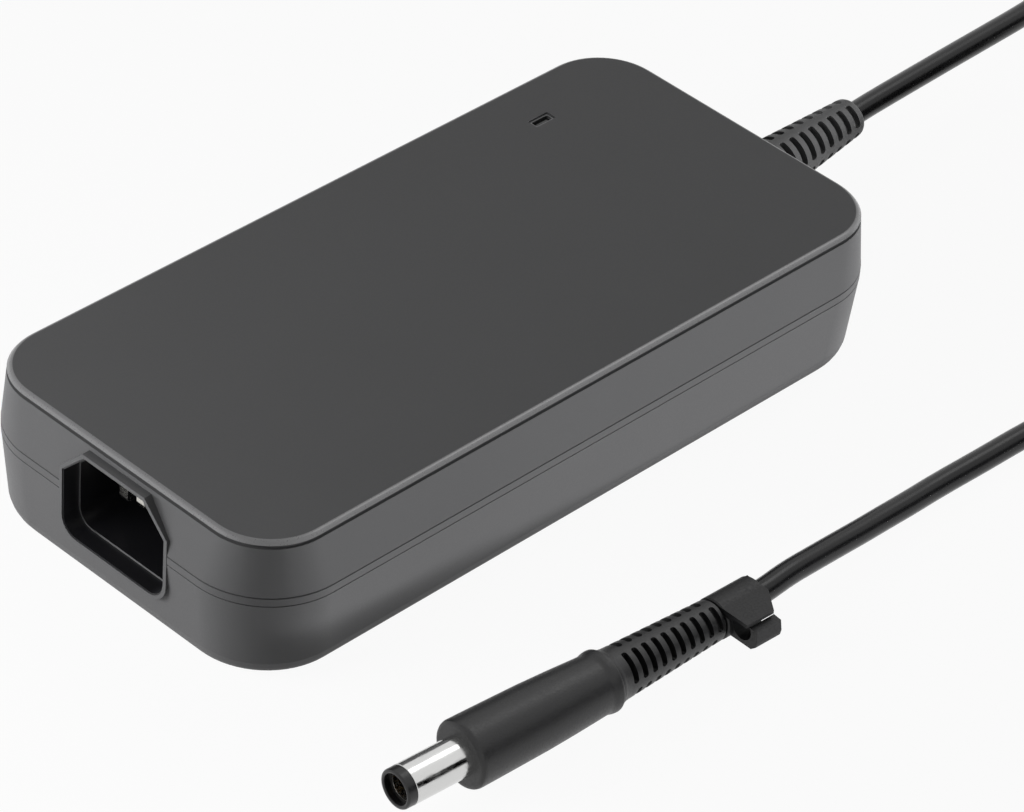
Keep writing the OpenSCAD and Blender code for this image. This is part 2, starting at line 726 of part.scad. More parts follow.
module transformer_bobbin() color("#20251f") {
    leg_ring(transformer_at, reel_r, reel_r + reel_t, core_plate, cooled_ht - core_plate);
    leg_ring(transformer_at, reel_r, reel_edge_r, core_plate, core_plate + reel_t);
    leg_ring(transformer_at, reel_r, reel_edge_r, cooled_ht - core_plate - reel_t,
        cooled_ht - core_plate);
}

module transformer_winding() color("#d8b13c")
    leg_ring(transformer_at, reel_r + reel_t + fit_gap, reel_edge_r - 0.4, core_plate + reel_t,
        cooled_ht - core_plate - reel_t);

// Pads on the two cores and on the heatsinks' flanges, under the upper film
module thermal_pads() color("#9aa6b4") {
    z = [board_top + cooled_ht, film_high_z];
    box(around(pfc_at[0], 10 * step_x), around(pfc_at[1], 8 * step_y), z);
    box(around(transformer_at[0], 12 * step_x), around(transformer_at[1], 8 * step_y), z);
    box([at_x(39.5), at_x(83.5)], [-spreader_y, sink_y + sink_flange - 0.5], z);
    box([at_x(91.5), at_x(117.5)], [-spreader_y, sink_y + sink_flange - 0.5], z);
}

module optocouplers() color("#262626") {
    on_board(at_x(82.8), at_y(-10), [4.6 * step_x, 6.4 * step_y, 3.5 * step_z]);
    on_board(at_x(82.8), at_y(-2), [4.6 * step_x, 6.4 * step_y, 3.5 * step_z]);
}

// ---------------------------------------------------------------- output side

module secondary_heatsink() color("#b9bcc0") side_sink(89.5, 118.5);
module sync_rectifiers() color("#2a2a2a") {
    power_package(96.5, 10, 4.4);
    power_package(111.5, 10, 4.4);
}

outcap_r = 5 * step_r;
outcap_ht = part_ht - outcap_clear;

module output_capacitors() color("#35507a")
    for (p = [[97.3, -16], [108.3, -16], [119.3, -16], [97.3, -4.5], [108.3, -4.5]])
        translate([at_x(p[0]), at_y(p[1]), board_top])
            difference() {
                cylinder(outcap_ht, r = outcap_r, $fn = 20);
                for (turn = [0, 90])
                    rotate([0, 0, turn])
                        translate([-outcap_r * 0.7, -0.15, outcap_ht - 0.2])
                            cube([outcap_r * 1.4, 0.3, more]);
            }

module output_choke() color(copper)
    translate([at_x(113.3), at_y(14.5), board_top])
        rotate_extrude($fn = 16)
            translate([6 * step_r, 3.9 * step_r]) circle(3.9 * step_r, $fn = 16);

// Three leads from the end of the jacket, bent down onto the board
module output_wires() {
    shades = ["#b02020", "#202020", "#dddddd"];
    bend = 3;
    for (k = [0 : 2])
        color(shades[k]) {
            r = k == 2 ? 0.5 : 0.62;
            x = wires_at[0] - 1.5;
            y = wires_at[1] + (k - 1) * 1.4;
            z = wires_at[2];
            translate([x, y, z]) rotate([0, 90, 0]) cylinder(1.5, r = r, $fn = 16);
            translate([x, y, z - bend])
                rotate([90, 0, 0])
                    rotate([0, 0, 90])
                        rotate_extrude(angle = 90, $fn = 16)
                            translate([bend, 0]) circle(r, $fn = 16);
            translate([x - bend, y, board_top])
                cylinder(z - bend - board_top, r = r, $fn = 16);
        }
}

// Children stand on the axis of the relief's bent part, from the case's end outwards
module along_relief() {
    translate(relief_at) rotate([0, 90 - relief_rise, relief_turn]) children();
}

// The stretch of the cord that lies inside the strain relief
module cord_jacket_end() color(black)
    along_relief()
        translate([0, 0, -jacket_in]) cylinder(jacket_in + relief_len, r = cord_r, $fn = 20);

module case_strain_relief() color("#4a4a4a") difference() {
    slots = floor((relief_len - relief_collar - 1.6) / relief_pitch);
    union() {
        translate([flange_x, relief_y, relief_z])
            rotate([0, 90, 0])
                rotate_extrude($fn = 20)
                    polygon([[0, 0], [relief_flange_r, 0], [relief_flange_r, flange_t],
                        [relief_d1 / 2, flange_t], [relief_d1 / 2, end_x - flange_x],
                        [relief_d1 / 2 - 0.25, end_x - flange_x],
                        [relief_d1 / 2 - 0.25, end_x + 0.9 - flange_x], [0, end_x + 0.9 - flange_x]]);
        along_relief() difference() {
            rotate_extrude($fn = 20)
                polygon([[0, relief_start], [relief_d1 / 2, relief_start], [relief_d2 / 2, relief_len - 0.8],
                    [relief_d2 / 2 - 0.7, relief_len], [0, relief_len]]);
            translate([0, 0, relief_len - relief_collar + relief_pitch - relief_slot - slots * relief_pitch])
                slot_rows(slots, relief_pitch, relief_slot, slot_floor, relief_d1);
        }
    }
    along_relief()
        translate([0, 0, -jacket_in])
            cylinder(jacket_in + relief_len + more, r = cord_r + fit_gap, $fn = 20);
}

// ---------------------------------------------------------------- cord

function unit(v) = v / norm(v);

// The heading at each point of a route
function headings(p) = [for (i = [0 : len(p) - 1])
    unit(p[min(i + 1, len(p) - 1)] - p[max(i - 1, 0)])];

// A ring of points round p, square to heading h, the first one straight up
function ring(p, h, r, sides) = let (side = unit(cross([0, 0, 1], h)), up = cross(h, side))
    [for (k = [0 : sides - 1]) p + r * (cos(360 * k / sides) * up + sin(360 * k / sides) * side)];

// One closed tube through a route's points; the end rings are square to h0 and h1
module tube(p, h0, h1, r, sides) {
    n = len(p);
    h = headings(p);
    rings = [for (i = [0 : n - 1])
        each ring(p[i], i == 0 ? h0 : i == n - 1 ? h1 : h[i], r, sides)];
    walls = [for (i = [0 : n - 2], k = [0 : sides - 1], half = [0, 1])
        let (a = i * sides + k, b = i * sides + (k + 1) % sides)
            half == 0 ? [a, b, a + sides] : [b, b + sides, a + sides]];
    caps = [for (k = [1 : sides - 2]) each [[0, k + 1, k],
        [(n - 1) * sides, (n - 1) * sides + k, (n - 1) * sides + k + 1]]];
    polyhedron(rings, concat(walls, caps), convexity = 10);
}

module dc_cord_lead() color(black)
    tube(lead_route, relief_dir, [0, -1, 0], cord_r, 8);

module dc_cord_tail() color(black)
    tube(tail_route, tail_dir, [1, 0, 0], cord_r, 8);

// The coil's line after t turns: it runs in and out again, and steps down a layer
// in the half turn where it reverses
function zigzag(u) = let (m = u % 2) m < 1 ? m : 2 - m;
function coil_r(t) = coil_r_out - (coil_r_out - coil_r_in) * zigzag(t / layer_turns);
function coil_z(t) = coil_top_z - turn_pitch
    * (coil_step(t - layer_turns) + coil_step(t - 2 * layer_turns) + coil_step(t - 3 * layer_turns));
function coil_step(u) = min(max(2 * u + 0.5, 0), 1);
function coil_point(t) = [coil_at[0] + coil_r(t) * cos(-360 * t), coil_at[1] + coil_r(t) * sin(-360 * t),
    coil_z(t)];

coil_line = [for (i = [0 : coil_turns * rings_per_turn]) coil_point(i / rings_per_turn)];
coil_route = concat([coil_start + [0, cord_d, 0]], coil_line, [coil_finish - [cord_d, 0, 0]]);
coil_far = round(rings_per_turn * 0.6);
least_gap = min([for (i = [0 : len(coil_line) - 1 - coil_far])
    min([for (k = [i + coil_far : len(coil_line) - 1]) norm(coil_line[i] - coil_line[k])])]) - cord_d;
echo(coil_least_gap = least_gap);

function route_length(p) = len(p) < 2 ? 0 : let (n = len(p))
    [for (i = 0, s = 0; i < n; i = i + 1, s = s + (i < n ? norm(p[i] - p[i - 1]) : 0)) s][n - 1];
echo(cord_length = route_length(lead_route) + route_length(coil_route) + route_length(tail_route));

module dc_cord_coil() color(black)
    tube(coil_route, [0, -1, 0], [-1, 0, 0], cord_r, 6);

// A flat strap round the coil's bundle
module cord_strap() color("#2a2a2a")
    translate([coil_at[0], coil_at[1], 0]) rotate([0, 0, strap_at]) {
        clear = 0.3;
        bow = strap_wid * strap_wid / 8 / (coil_r_in - cord_r);
        x0 = coil_r_in - cord_r - bow - clear;
        x1 = coil_r_out + cord_r + clear;
        z0 = strap_t + 0.05;
        z1 = coil_top_z + cord_r + clear;
        rotate([90, 0, 0])
            translate([0, 0, -strap_wid / 2])
                linear_extrude(strap_wid)
                    difference() {
                        translate([x0 - strap_t, z0 - strap_t])
                            square([x1 - x0 + 2 * strap_t, z1 - z0 + 2 * strap_t]);
                        translate([x0, z0]) square([x1 - x0, z1 - z0]);
                    }
    }

// ---------------------------------------------------------------- plug

// Children stand on the plug's axis, which is their Z axis, from the tip back
module along_plug() {
    translate(plug_tip) rotate([0, 0, plug_turn]) rotate([0, 90, 0]) children();
}

// Children stand on the relief's and the cord's axis, from the neck back
module along_tail() {
    translate(neck_at) rotate([0, 90 + tail_droop, tail_turn]) children();
}

module turned(points) rotate_extrude($fn = 20) polygon(points);

barrel_r = barrel_d / 2;
shell_t = 0.4;
liner_r = barrel_r - shell_t - fit_gap;
contact_r = contact_bore_d / 2 + 0.25;
hidden_r = barrel_r - 0.2;

module plug_barrel() color(steel) along_plug()
    turned([[barrel_r - shell_t, tip_ring], [barrel_r, tip_ring], [barrel_r, barrel_len],
        [hidden_r, barrel_len], [hidden_r, shoulder_s], [barrel_r - shell_t, shoulder_s]]);

module plug_insulator() color("#141414") along_plug()
    turned([[contact_r + fit_gap, 0.4], [contact_r + fit_gap + 0.3, 0], [barrel_r - 0.35, 0],
        [barrel_r - 0.05, 0.3], [barrel_r - 0.05, tip_ring], [liner_r, tip_ring],
        [liner_r, shoulder_s], [contact_r + fit_gap, shoulder_s]]);

module plug_inner_contact() color(steel) along_plug()
    turned([[contact_bore_d / 2, 0.8], [contact_r, 0.8], [contact_r, shoulder_s],
        [contact_bore_d / 2, shoulder_s]]);

module plug_center_pin() color("#c9a24a") along_plug() {
    translate([0, 0, 2.6]) cylinder(shoulder_s, r = center_pin_d / 2, $fn = 20);
    translate([0, 0, 2.2]) cylinder(0.4, r1 = center_pin_d / 4, r2 = center_pin_d / 2, $fn = 20);
}

module plug_core() color("#2c2c2c") along_plug() difference() {
    turned([[0, barrel_len], [contact_bore_d / 2 - fit_gap, barrel_len],
        [contact_bore_d / 2 - fit_gap, shoulder_s], [hidden_r, shoulder_s],
        [hidden_r, shoulder_s + core_len], [0, shoulder_s + core_len]]);
    translate([0, 0, barrel_len - more])
        cylinder(shoulder_s + 2.6 - barrel_len + more, r = center_pin_d / 2 + 0.02, $fn = 20);
}

// The moulded body with its ribbed relief. The relief is flexed a little sideways.
module plug_body() color(black) {
    neck = rib_s - 1;
    slots = floor((tail_len - 3) / tail_pitch);
    difference() {
        union() {
            along_plug()
                turned([[0, barrel_len], [body_d1 / 2 - 0.9, barrel_len],
                    [body_d1 / 2 - 0.25, barrel_len + 0.2], [body_d1 / 2, barrel_len + 0.8],
                    [body_d1 / 2 - 0.02, barrel_len + 3], [body_d1 / 2 - 0.13, barrel_len + body_len * 0.3],
                    [body_d1 / 2 - 0.25, barrel_len + body_len * 0.5],
                    [body_d1 / 2 - 0.5, barrel_len + body_len * 0.7], [body_d2 / 2, rib_s - 2.8],
                    [body_d2 / 2 + 0.05, rib_s - 2.2], [rib_d / 2 - 0.06, rib_s - 1.3],
                    [rib_d / 2, rib_s - 0.7], [rib_d / 2 - 0.12, rib_s - 0.2], [rib_d / 2 - 0.45, rib_s],
                    [0, rib_s]]);
            along_tail() difference() {
                turned([[0, 0], [tail_d1 / 2 + 0.6, 0], [tail_d1 / 2 + 0.55, 1.1], [tail_d1 / 2 + 0.25, 1.9],
                    [tail_d1 / 2 + 0.08, 2.8], [tail_d1 / 2, 3.6], [tail_d2 / 2, tail_len - 0.4],
                    [tail_d2 / 2 - 0.4, tail_len], [0, tail_len]]);
                translate([0, 0, 3.5])
                    slot_rows(slots, tail_pitch, tail_slot, cord_r + 0.4, tail_d1, 0.5);
            }
        }
        along_plug()
            translate([0, 0, barrel_len - more])
                cylinder(shoulder_s + core_len - barrel_len + more + 0.02, r = hidden_r + 0.02, $fn = 20);
    }
}

// ---------------------------------------------------------------- wrap clip

clip_top = clip_d / 2 - 0.4;
channel_r = channel_d / 2;
channel_at = [jaw_reach - channel_r + 0.1, clip_top - 0.65 - channel_r];
upper_x = [0, 6.6];
lower_x = [1.2, 7.2];

// The two jaws' sections: u away from the cord, v up. Between them stays a narrow mouth.
lip_v = clip_top - 1.3;
jaw_low = channel_at[1] - channel_r - 0.75;
upper_jaw = [[-1.9, lip_v], [channel_at[0], lip_v], [channel_at[0], clip_top - 0.65],
    [jaw_reach, clip_top - 0.65], [jaw_reach, clip_top], [-1.9, clip_top]];
lower_jaw = [[0, jaw_low], [lower_reach - 1.2, jaw_low], [lower_reach - 0.2, jaw_low + 0.9],
    [lower_reach, jaw_low + 2], [lower_reach - 0.4, lip_v - 0.2], [jaw_reach - 0.6, lip_v], [0, lip_v]];

// A jaw's plan, along the cord and away from it. The upper one ends at a slant.
upper_plan = [[upper_x[0], -clip_d], [clip_len, -clip_d], [clip_len, 0], [clip_len - 0.6, clip_d / 2],
    [upper_x[1], jaw_reach], [upper_x[1], lower_reach + more], [upper_x[0], lower_reach + more]];
lower_plan = [[lower_x[0], 0], [lower_x[1], 0], [lower_x[1], lower_reach + more],
    [lower_x[0], lower_reach + more]];

module jaw(section, plan) intersection() {
    rotate([90, 0, 90])
        linear_extrude(clip_len)
            mirror([1, 0])
                difference() {
                    polygon(section);
                    translate(channel_at) circle(channel_r, $fn = 20);
                }
    translate([0, 0, -clip_d]) linear_extrude(2 * clip_d) mirror([0, 1]) polygon(plan);
}

module cord_clip() color(black)
    translate(tail_end + clip_from * tail_dir) rotate([0, tail_droop, tail_turn]) difference() {
        union() {
            rotate([0, 90, 0]) cylinder(clip_len, d = clip_d, $fn = 20);
            jaw(upper_jaw, upper_plan);
            jaw(lower_jaw, lower_plan);
        }
        translate([-more, 0, 0])
            rotate([0, 90, 0]) cylinder(clip_len + 2 * more, r = cord_r + clip_gap, $fn = 20);
    }

base_cover();
top_cover();
light_guide();
status_led();
inlet_housing();
line_pin();
neutral_pin();
earth_pin();
line_wire();
neutral_wire();
earth_wire();
lower_heat_spreader();
upper_heat_spreader();
lower_film();
upper_film();
circuit_board();
fuse();
varistor();
thermistor();
x_capacitor();
y_capacitors();
choke_core();
choke_windings();
bridge_rectifier();
primary_heatsink();
primary_transistors();
pfc_core();
pfc_winding();
bulk_capacitor();
control_board();
control_chips();
transformer_core();
transformer_bobbin();
transformer_winding();
thermal_pads();
optocouplers();
secondary_heatsink();
sync_rectifiers();
output_capacitors();
output_choke();
output_wires();
cord_jacket_end();
case_strain_relief();
dc_cord_lead();
dc_cord_coil();
dc_cord_tail();
cord_strap();
plug_body();
plug_core();
plug_barrel();
plug_insulator();
plug_inner_contact();
plug_center_pin();
cord_clip();
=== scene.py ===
from math import atan2, ceil, cos, pi, radians, sin, sqrt, tan

import bmesh
import bpy
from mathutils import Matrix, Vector


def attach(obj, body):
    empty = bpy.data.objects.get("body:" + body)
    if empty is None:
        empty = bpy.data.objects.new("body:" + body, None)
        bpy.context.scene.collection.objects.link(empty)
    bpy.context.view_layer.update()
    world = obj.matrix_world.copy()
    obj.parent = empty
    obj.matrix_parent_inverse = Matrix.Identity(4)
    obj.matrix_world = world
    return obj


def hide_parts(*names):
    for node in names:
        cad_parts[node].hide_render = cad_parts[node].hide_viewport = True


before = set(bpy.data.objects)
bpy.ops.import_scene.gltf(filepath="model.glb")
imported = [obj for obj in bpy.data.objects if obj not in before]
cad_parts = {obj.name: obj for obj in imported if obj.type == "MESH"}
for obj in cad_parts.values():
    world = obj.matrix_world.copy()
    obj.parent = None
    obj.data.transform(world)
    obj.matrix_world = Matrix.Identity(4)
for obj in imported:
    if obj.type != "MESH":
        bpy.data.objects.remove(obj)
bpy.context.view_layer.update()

# Laptop power adapter, dressed for rendering. Pieces are drawn in millimetres in the adapter's own
# frame (+Z up, mains inlet at -X, DC cord at +X) and brought to metres when they are finished.

MM = 0.001

# ---------------------------------------------------------------- sizes, as in the adapter's source

# Case: half its length and half its width at the widest, its height and wall, the height where the
# covers meet, and the steps in each rounded corner
END_X, SIDE_Y, CASE_HT = 78.35, 38, 29.8
WALL = 2.2
SPLIT_Z = 18.6
CORNER_STEPS = 16
FIT = 0.05  # room between pieces that fill one another

# Mains inlet: the socket and its place on the end wall, the frame round it and its pins
SOCKET_WID, SOCKET_HT = 24.4, 17.4
SOCKET_CHAMFER, SOCKET_CORNER = 5, 3
INLET_Y, INLET_Z = -1, 17.5
OPENING_GROW, LIP_T, FRAME_WID, FRAME_PROUD = 0.65, 0.2, 0.75, 0.1
INLET_FRONT, SLEEVE_FRONT, SOCKET_BACK, INLET_BACK = -74.75, -76.5, -58.35, -55.95
INLET_WALL = 1
PIN_T, PIN_HT, PIN_PITCH, EARTH_RISE = 2, 4, 14, 4
PIN_TIP, EARTH_TIP = -69.65, -72.15
TAB_T, TAB_INSET, TAB_END = 0.8, 0.2, -49.95

# Status light: the slot in the top cover, and the light pipe's lens, flange and rod under it
LIGHT_AT = (49, 25)
SLOT_LEN, SLOT_WID, SLOT_RIM, RIM_DEPTH, LENS_DEPTH = 4.1, 1.45, 0.45, 0.3, 0.5
LENS_FLANGE_T, LENS_FLANGE_GROW = 1.4, 1.2
ROD_R, ROD_LEN, ROD_SUNK = 1.5, 15.6, 0.1  # the rod is sunk a little into the flange


def heading(turn, rise):
    """The direction at an angle round Z and an angle up."""
    return Vector((cos(rise) * cos(turn), cos(rise) * sin(turn), sin(rise)))


# Strain relief where the cord leaves the case
CORD_R = 2.25
RELIEF_AT = Vector((END_X, -1.45, 17.2))
RELIEF_TURN, RELIEF_RISE = radians(2.8), radians(1.4)
RELIEF_DIR = heading(RELIEF_TURN, RELIEF_RISE)
RELIEF_LEN, RELIEF_R1, RELIEF_R2, RELIEF_FLANGE_R = 29.1, 5.9, 3.9, 7.7
FLANGE_X, FLANGE_T = 73.15, 2
RELIEF_PITCH, RELIEF_SLOT, RELIEF_COLLAR = 2.8, 1.45, 1.7

# Plug and its ribbed tail. A length called S runs along the plug from its tip
PLUG_TIP = Vector((-80, -71.96, 6.3))
PLUG_TURN, TAIL_TURN, TAIL_RISE = radians(-3.9), radians(-0.9), radians(-1.8)
PLUG_DIR, TAIL_DIR = heading(PLUG_TURN, 0), heading(TAIL_TURN, TAIL_RISE)
BARREL_R, TIP_RING, BARREL_LEN = 3.7, 1.9, 13.7
BODY_LEN, BODY_R1, BODY_R2, RIB_R = 31.7, 6.3, 5.45, 5.75
RIB_S = BARREL_LEN + BODY_LEN
SHOULDER_S = BARREL_LEN + 6
CORE_END = SHOULDER_S + 7
CONTACT_BORE_R, CONTACT_R, CENTRE_PIN_R = 2.5, 2.75, 0.4
TAIL_LEN, TAIL_R1, TAIL_R2, TAIL_PITCH, TAIL_SLOT = 26.8, 4.8, 3.85, 2.35, 1.2
NECK_AT = PLUG_TIP + (RIB_S - 1) * PLUG_DIR
TAIL_END = NECK_AT + TAIL_LEN * TAIL_DIR

# Wrap clip: a sleeve on the cord, with two jaws round an open channel
CLIP_LEN, CLIP_R, CLIP_GAP, CLIP_FROM = 10, 3.9, 0.06, 0.3
CHANNEL_R, JAW_REACH, LOWER_REACH = 2, 7.7, 9.4
UPPER_T, LOWER_T, SLANT_X = 0.65, 0.75, 6.6
CLIP_TOP = CLIP_R - 0.4

# Coil of the cord, and the strap round it
COIL_AT = Vector((163, -55, 0))
LAYER_TURNS, RINGS_PER_TURN = 2.3125, 24
TURN_PITCH = 5
COIL_R = 26
COIL_R_OUT = COIL_R + TURN_PITCH * LAYER_TURNS / 2
COIL_R_IN = COIL_R - TURN_PITCH * LAYER_TURNS / 2
COIL_TOP_Z = 18.3
STRAP_T, STRAP_WID, STRAP_GAP, STRAP_AT = 0.9, 10, 0.3, radians(135)

# ---------------------------------------------------------------- camera and light

camera_data = bpy.data.cameras.new("camera")
camera = bpy.data.objects.new("camera", camera_data)
bpy.context.scene.collection.objects.link(camera)
camera.location = (-0.5405, -0.51465, 0.57345)
camera.rotation_euler = [radians(a) for a in (52.5687, -3.3662, -44.8403)]
camera_data.lens = 185.1
camera_data.sensor_width = 36
bpy.context.scene.camera = camera
bpy.context.scene.view_settings.view_transform = "Standard"


def softbox(name, at, aim, size, watts, glossy=True):
    """A rectangular lamp at one point, turned to face another, with or without its reflections."""
    lamp = bpy.data.lights.new(name, "AREA")
    lamp.shape = "RECTANGLE"
    lamp.size, lamp.size_y = size
    lamp.energy = watts
    holder = bpy.data.objects.new(name, lamp)
    holder.location = at
    holder.rotation_euler = (Vector(aim) - Vector(at)).to_track_quat("-Z", "Y").to_euler()
    holder.visible_glossy = glossy
    bpy.context.scene.collection.objects.link(holder)


CASE_MIDDLE = (0, 0, 0.015)
softbox("left_strip", (-0.78, 0.98, 0.05), CASE_MIDDLE, (0.8, 0.09), 17, glossy=False)
softbox("right_strip", (0.9, -0.9, 0.05), CASE_MIDDLE, (0.8, 0.09), 28, glossy=False)
softbox("end_softbox", (-0.24, 0.08, 0.14), (-0.07, 0, 0.03), (0.14, 0.14), 0.36, glossy=False)
softbox("key_softbox", (0.66, 0.04, 0.93), (0, -0.05, 0.01), (0.4, 0.4), 1.2)

# ---------------------------------------------------------------- shaders

MIX_A, MIX_B, MIX_OUT = 6, 7, 2  # the colour sockets of a Mix node
NOISE_LOW, NOISE_HIGH = 0.3, 0.7  # most of a noise texture's values lie between these
RELIEF_STRENGTH = 0.6


def paint(code):
    """An sRGB hex colour as linear RGBA."""
    parts = [int(code[i:i + 2], 16) / 255 for i in (1, 3, 5)]
    return [c / 12.92 if c <= 0.04045 else ((c + 0.055) / 1.055) ** 2.4 for c in parts] + [1]


def add(tree, kind, sockets=(), **settings):
    """Add a node with its settings; each socket gets a value or another node's output."""
    made = tree.nodes.new(kind)
    for name, value in settings.items():
        setattr(made, name, value)
    for name, value in dict(sockets).items():
        if isinstance(value, bpy.types.NodeSocket):
            tree.links.new(value, made.inputs[name])
        else:
            made.inputs[name].default_value = value
    return made


def blank(name):
    """A material with no nodes yet."""
    material = bpy.data.materials.new(name)
    material.use_nodes = True
    material.node_tree.nodes.clear()
    return material


def finish_of(name, colours, rough, grain, depth, patch, stretch=(1, 1, 1), turn=0, **shader):
    """A finish with slow changes between two colours and two roughnesses, and a fine relief.

    grain is the relief's size, depth its height and patch the size of the slow changes, all in mm.
    stretch draws the relief out along an axis by a factor, after a turn round Z.
    """
    material = blank(name)
    tree = material.node_tree
    place = add(tree, "ShaderNodeTexCoord").outputs["Object"]
    drawn = add(tree, "ShaderNodeMapping", {
        "Vector": place, "Rotation": (0, 0, turn), "Scale": [1 / s for s in stretch]}).outputs[0]
    slow = add(tree, "ShaderNodeTexNoise", {
        "Vector": drawn, "Scale": 1 / (patch * MM), "Detail": 3}).outputs[0]
    fine = add(tree, "ShaderNodeTexNoise", {
        "Vector": drawn, "Scale": 1 / (grain * MM), "Detail": 2}).outputs[0]
    tone = add(tree, "ShaderNodeMix", {
        0: slow, MIX_A: paint(colours[0]), MIX_B: paint(colours[1])}, data_type="RGBA")
    gloss = add(tree, "ShaderNodeMapRange", {
        "Value": fine, "From Min": NOISE_LOW, "From Max": NOISE_HIGH,
        "To Min": rough[0], "To Max": rough[1]})
    relief = add(tree, "ShaderNodeBump", {
        "Height": fine, "Strength": RELIEF_STRENGTH, "Distance": depth * MM})
    sockets = {"Base Color": tone.outputs[MIX_OUT], "Roughness": gloss.outputs[0],
               "Normal": relief.outputs[0]}
    sockets.update({key.replace("_", " "): value for key, value in shader.items()})
    skin = add(tree, "ShaderNodeBsdfPrincipled", sockets)
    add(tree, "ShaderNodeOutputMaterial", {"Surface": skin.outputs[0]})
    return material


# Polycarbonate and ABS blend from a spark-eroded mould: a fine, even, satin grey
case_plastic = finish_of(
    "moulded_pc_abs", ("#545455", "#505051"), (0.48, 0.58), 0.3, 0.006, 25, IOR=1.55,
    Specular_IOR_Level=0.25)
# Painted highlight: the same plastic made lighter, and smoother, for the raised edge, slot rim and
# inlet front
painted_highlight_plastic = finish_of(
    "polished_pc_abs_painted_highlight", ("#646465", "#5e5e5f"), (0.26, 0.36), 0.3, 0.003, 25, IOR=1.55,
    Specular_IOR_Level=0.8, Coat_Weight=0.2, Coat_Roughness=0.25)
# The same blend in glass-filled black for the inlet, a little shinier
inlet_plastic = finish_of(
    "moulded_black_pbt", ("#17171a", "#131315"), (0.32, 0.45), 0.4, 0.008, 12, IOR=1.57)
# Soft PVC moulded over the cord's exit: mid grey and dull
relief_rubber = finish_of(
    "moulded_grey_pvc", ("#585858", "#525253"), (0.5, 0.64), 0.35, 0.02, 9, IOR=1.52)
# Extruded PVC jacket: black with a soft shine and faint waves along it
cord_rubber = finish_of(
    "extruded_black_pvc", ("#0f0f10", "#0c0c0d"), (0.24, 0.3), 1.4, 0.01, 20, IOR=1.52,
    Specular_IOR_Level=0.3)
# PVC moulded over the plug in a blasted mould: black, matt and grainy
plug_rubber = finish_of(
    "moulded_black_pvc", ("#101011", "#0c0c0d"), (0.34, 0.52), 0.28, 0.05, 6, IOR=1.52)
# Nylon clip and strap
clip_nylon = finish_of(
    "moulded_black_nylon", ("#161617", "#111112"), (0.4, 0.58), 0.4, 0.02, 6, IOR=1.53,
    Specular_IOR_Level=0.35)
# Drawn and nickel-plated steel shell: mirror-like with fine lines round the axis
barrel_metal = finish_of(
    "nickel_plated_steel", ("#d9d9d8", "#c9c9c8"), (0.1, 0.26), 0.35, 0.004, 5,
    stretch=(8, 1, 1), turn=-PLUG_TURN, Metallic=1.0)
# Nickel-plated brass blades
pin_metal = finish_of(
    "nickel_plated_brass", ("#d6d4cf", "#c6c3bd"), (0.18, 0.32), 0.3, 0.004, 3, Metallic=1.0)
# Gold-plated centre pin
pin_gold = finish_of(
    "gold_plated_brass", ("#d8b266", "#c79f50"), (0.18, 0.3), 0.3, 0.003, 2, Metallic=1.0)
# Acetal ring at the plug's tip: black and smooth
tip_acetal = finish_of(
    "black_acetal", ("#141415", "#101011"), (0.28, 0.38), 0.4, 0.004, 5, IOR=1.48)
# Smoked acrylic light pipe, unlit
lens_acrylic = finish_of(
    "smoked_acrylic", ("#1a1a1b", "#232324"), (0.12, 0.2), 0.6, 0.002, 2, IOR=1.49)

# ---------------------------------------------------------------- finishes of the parts inside

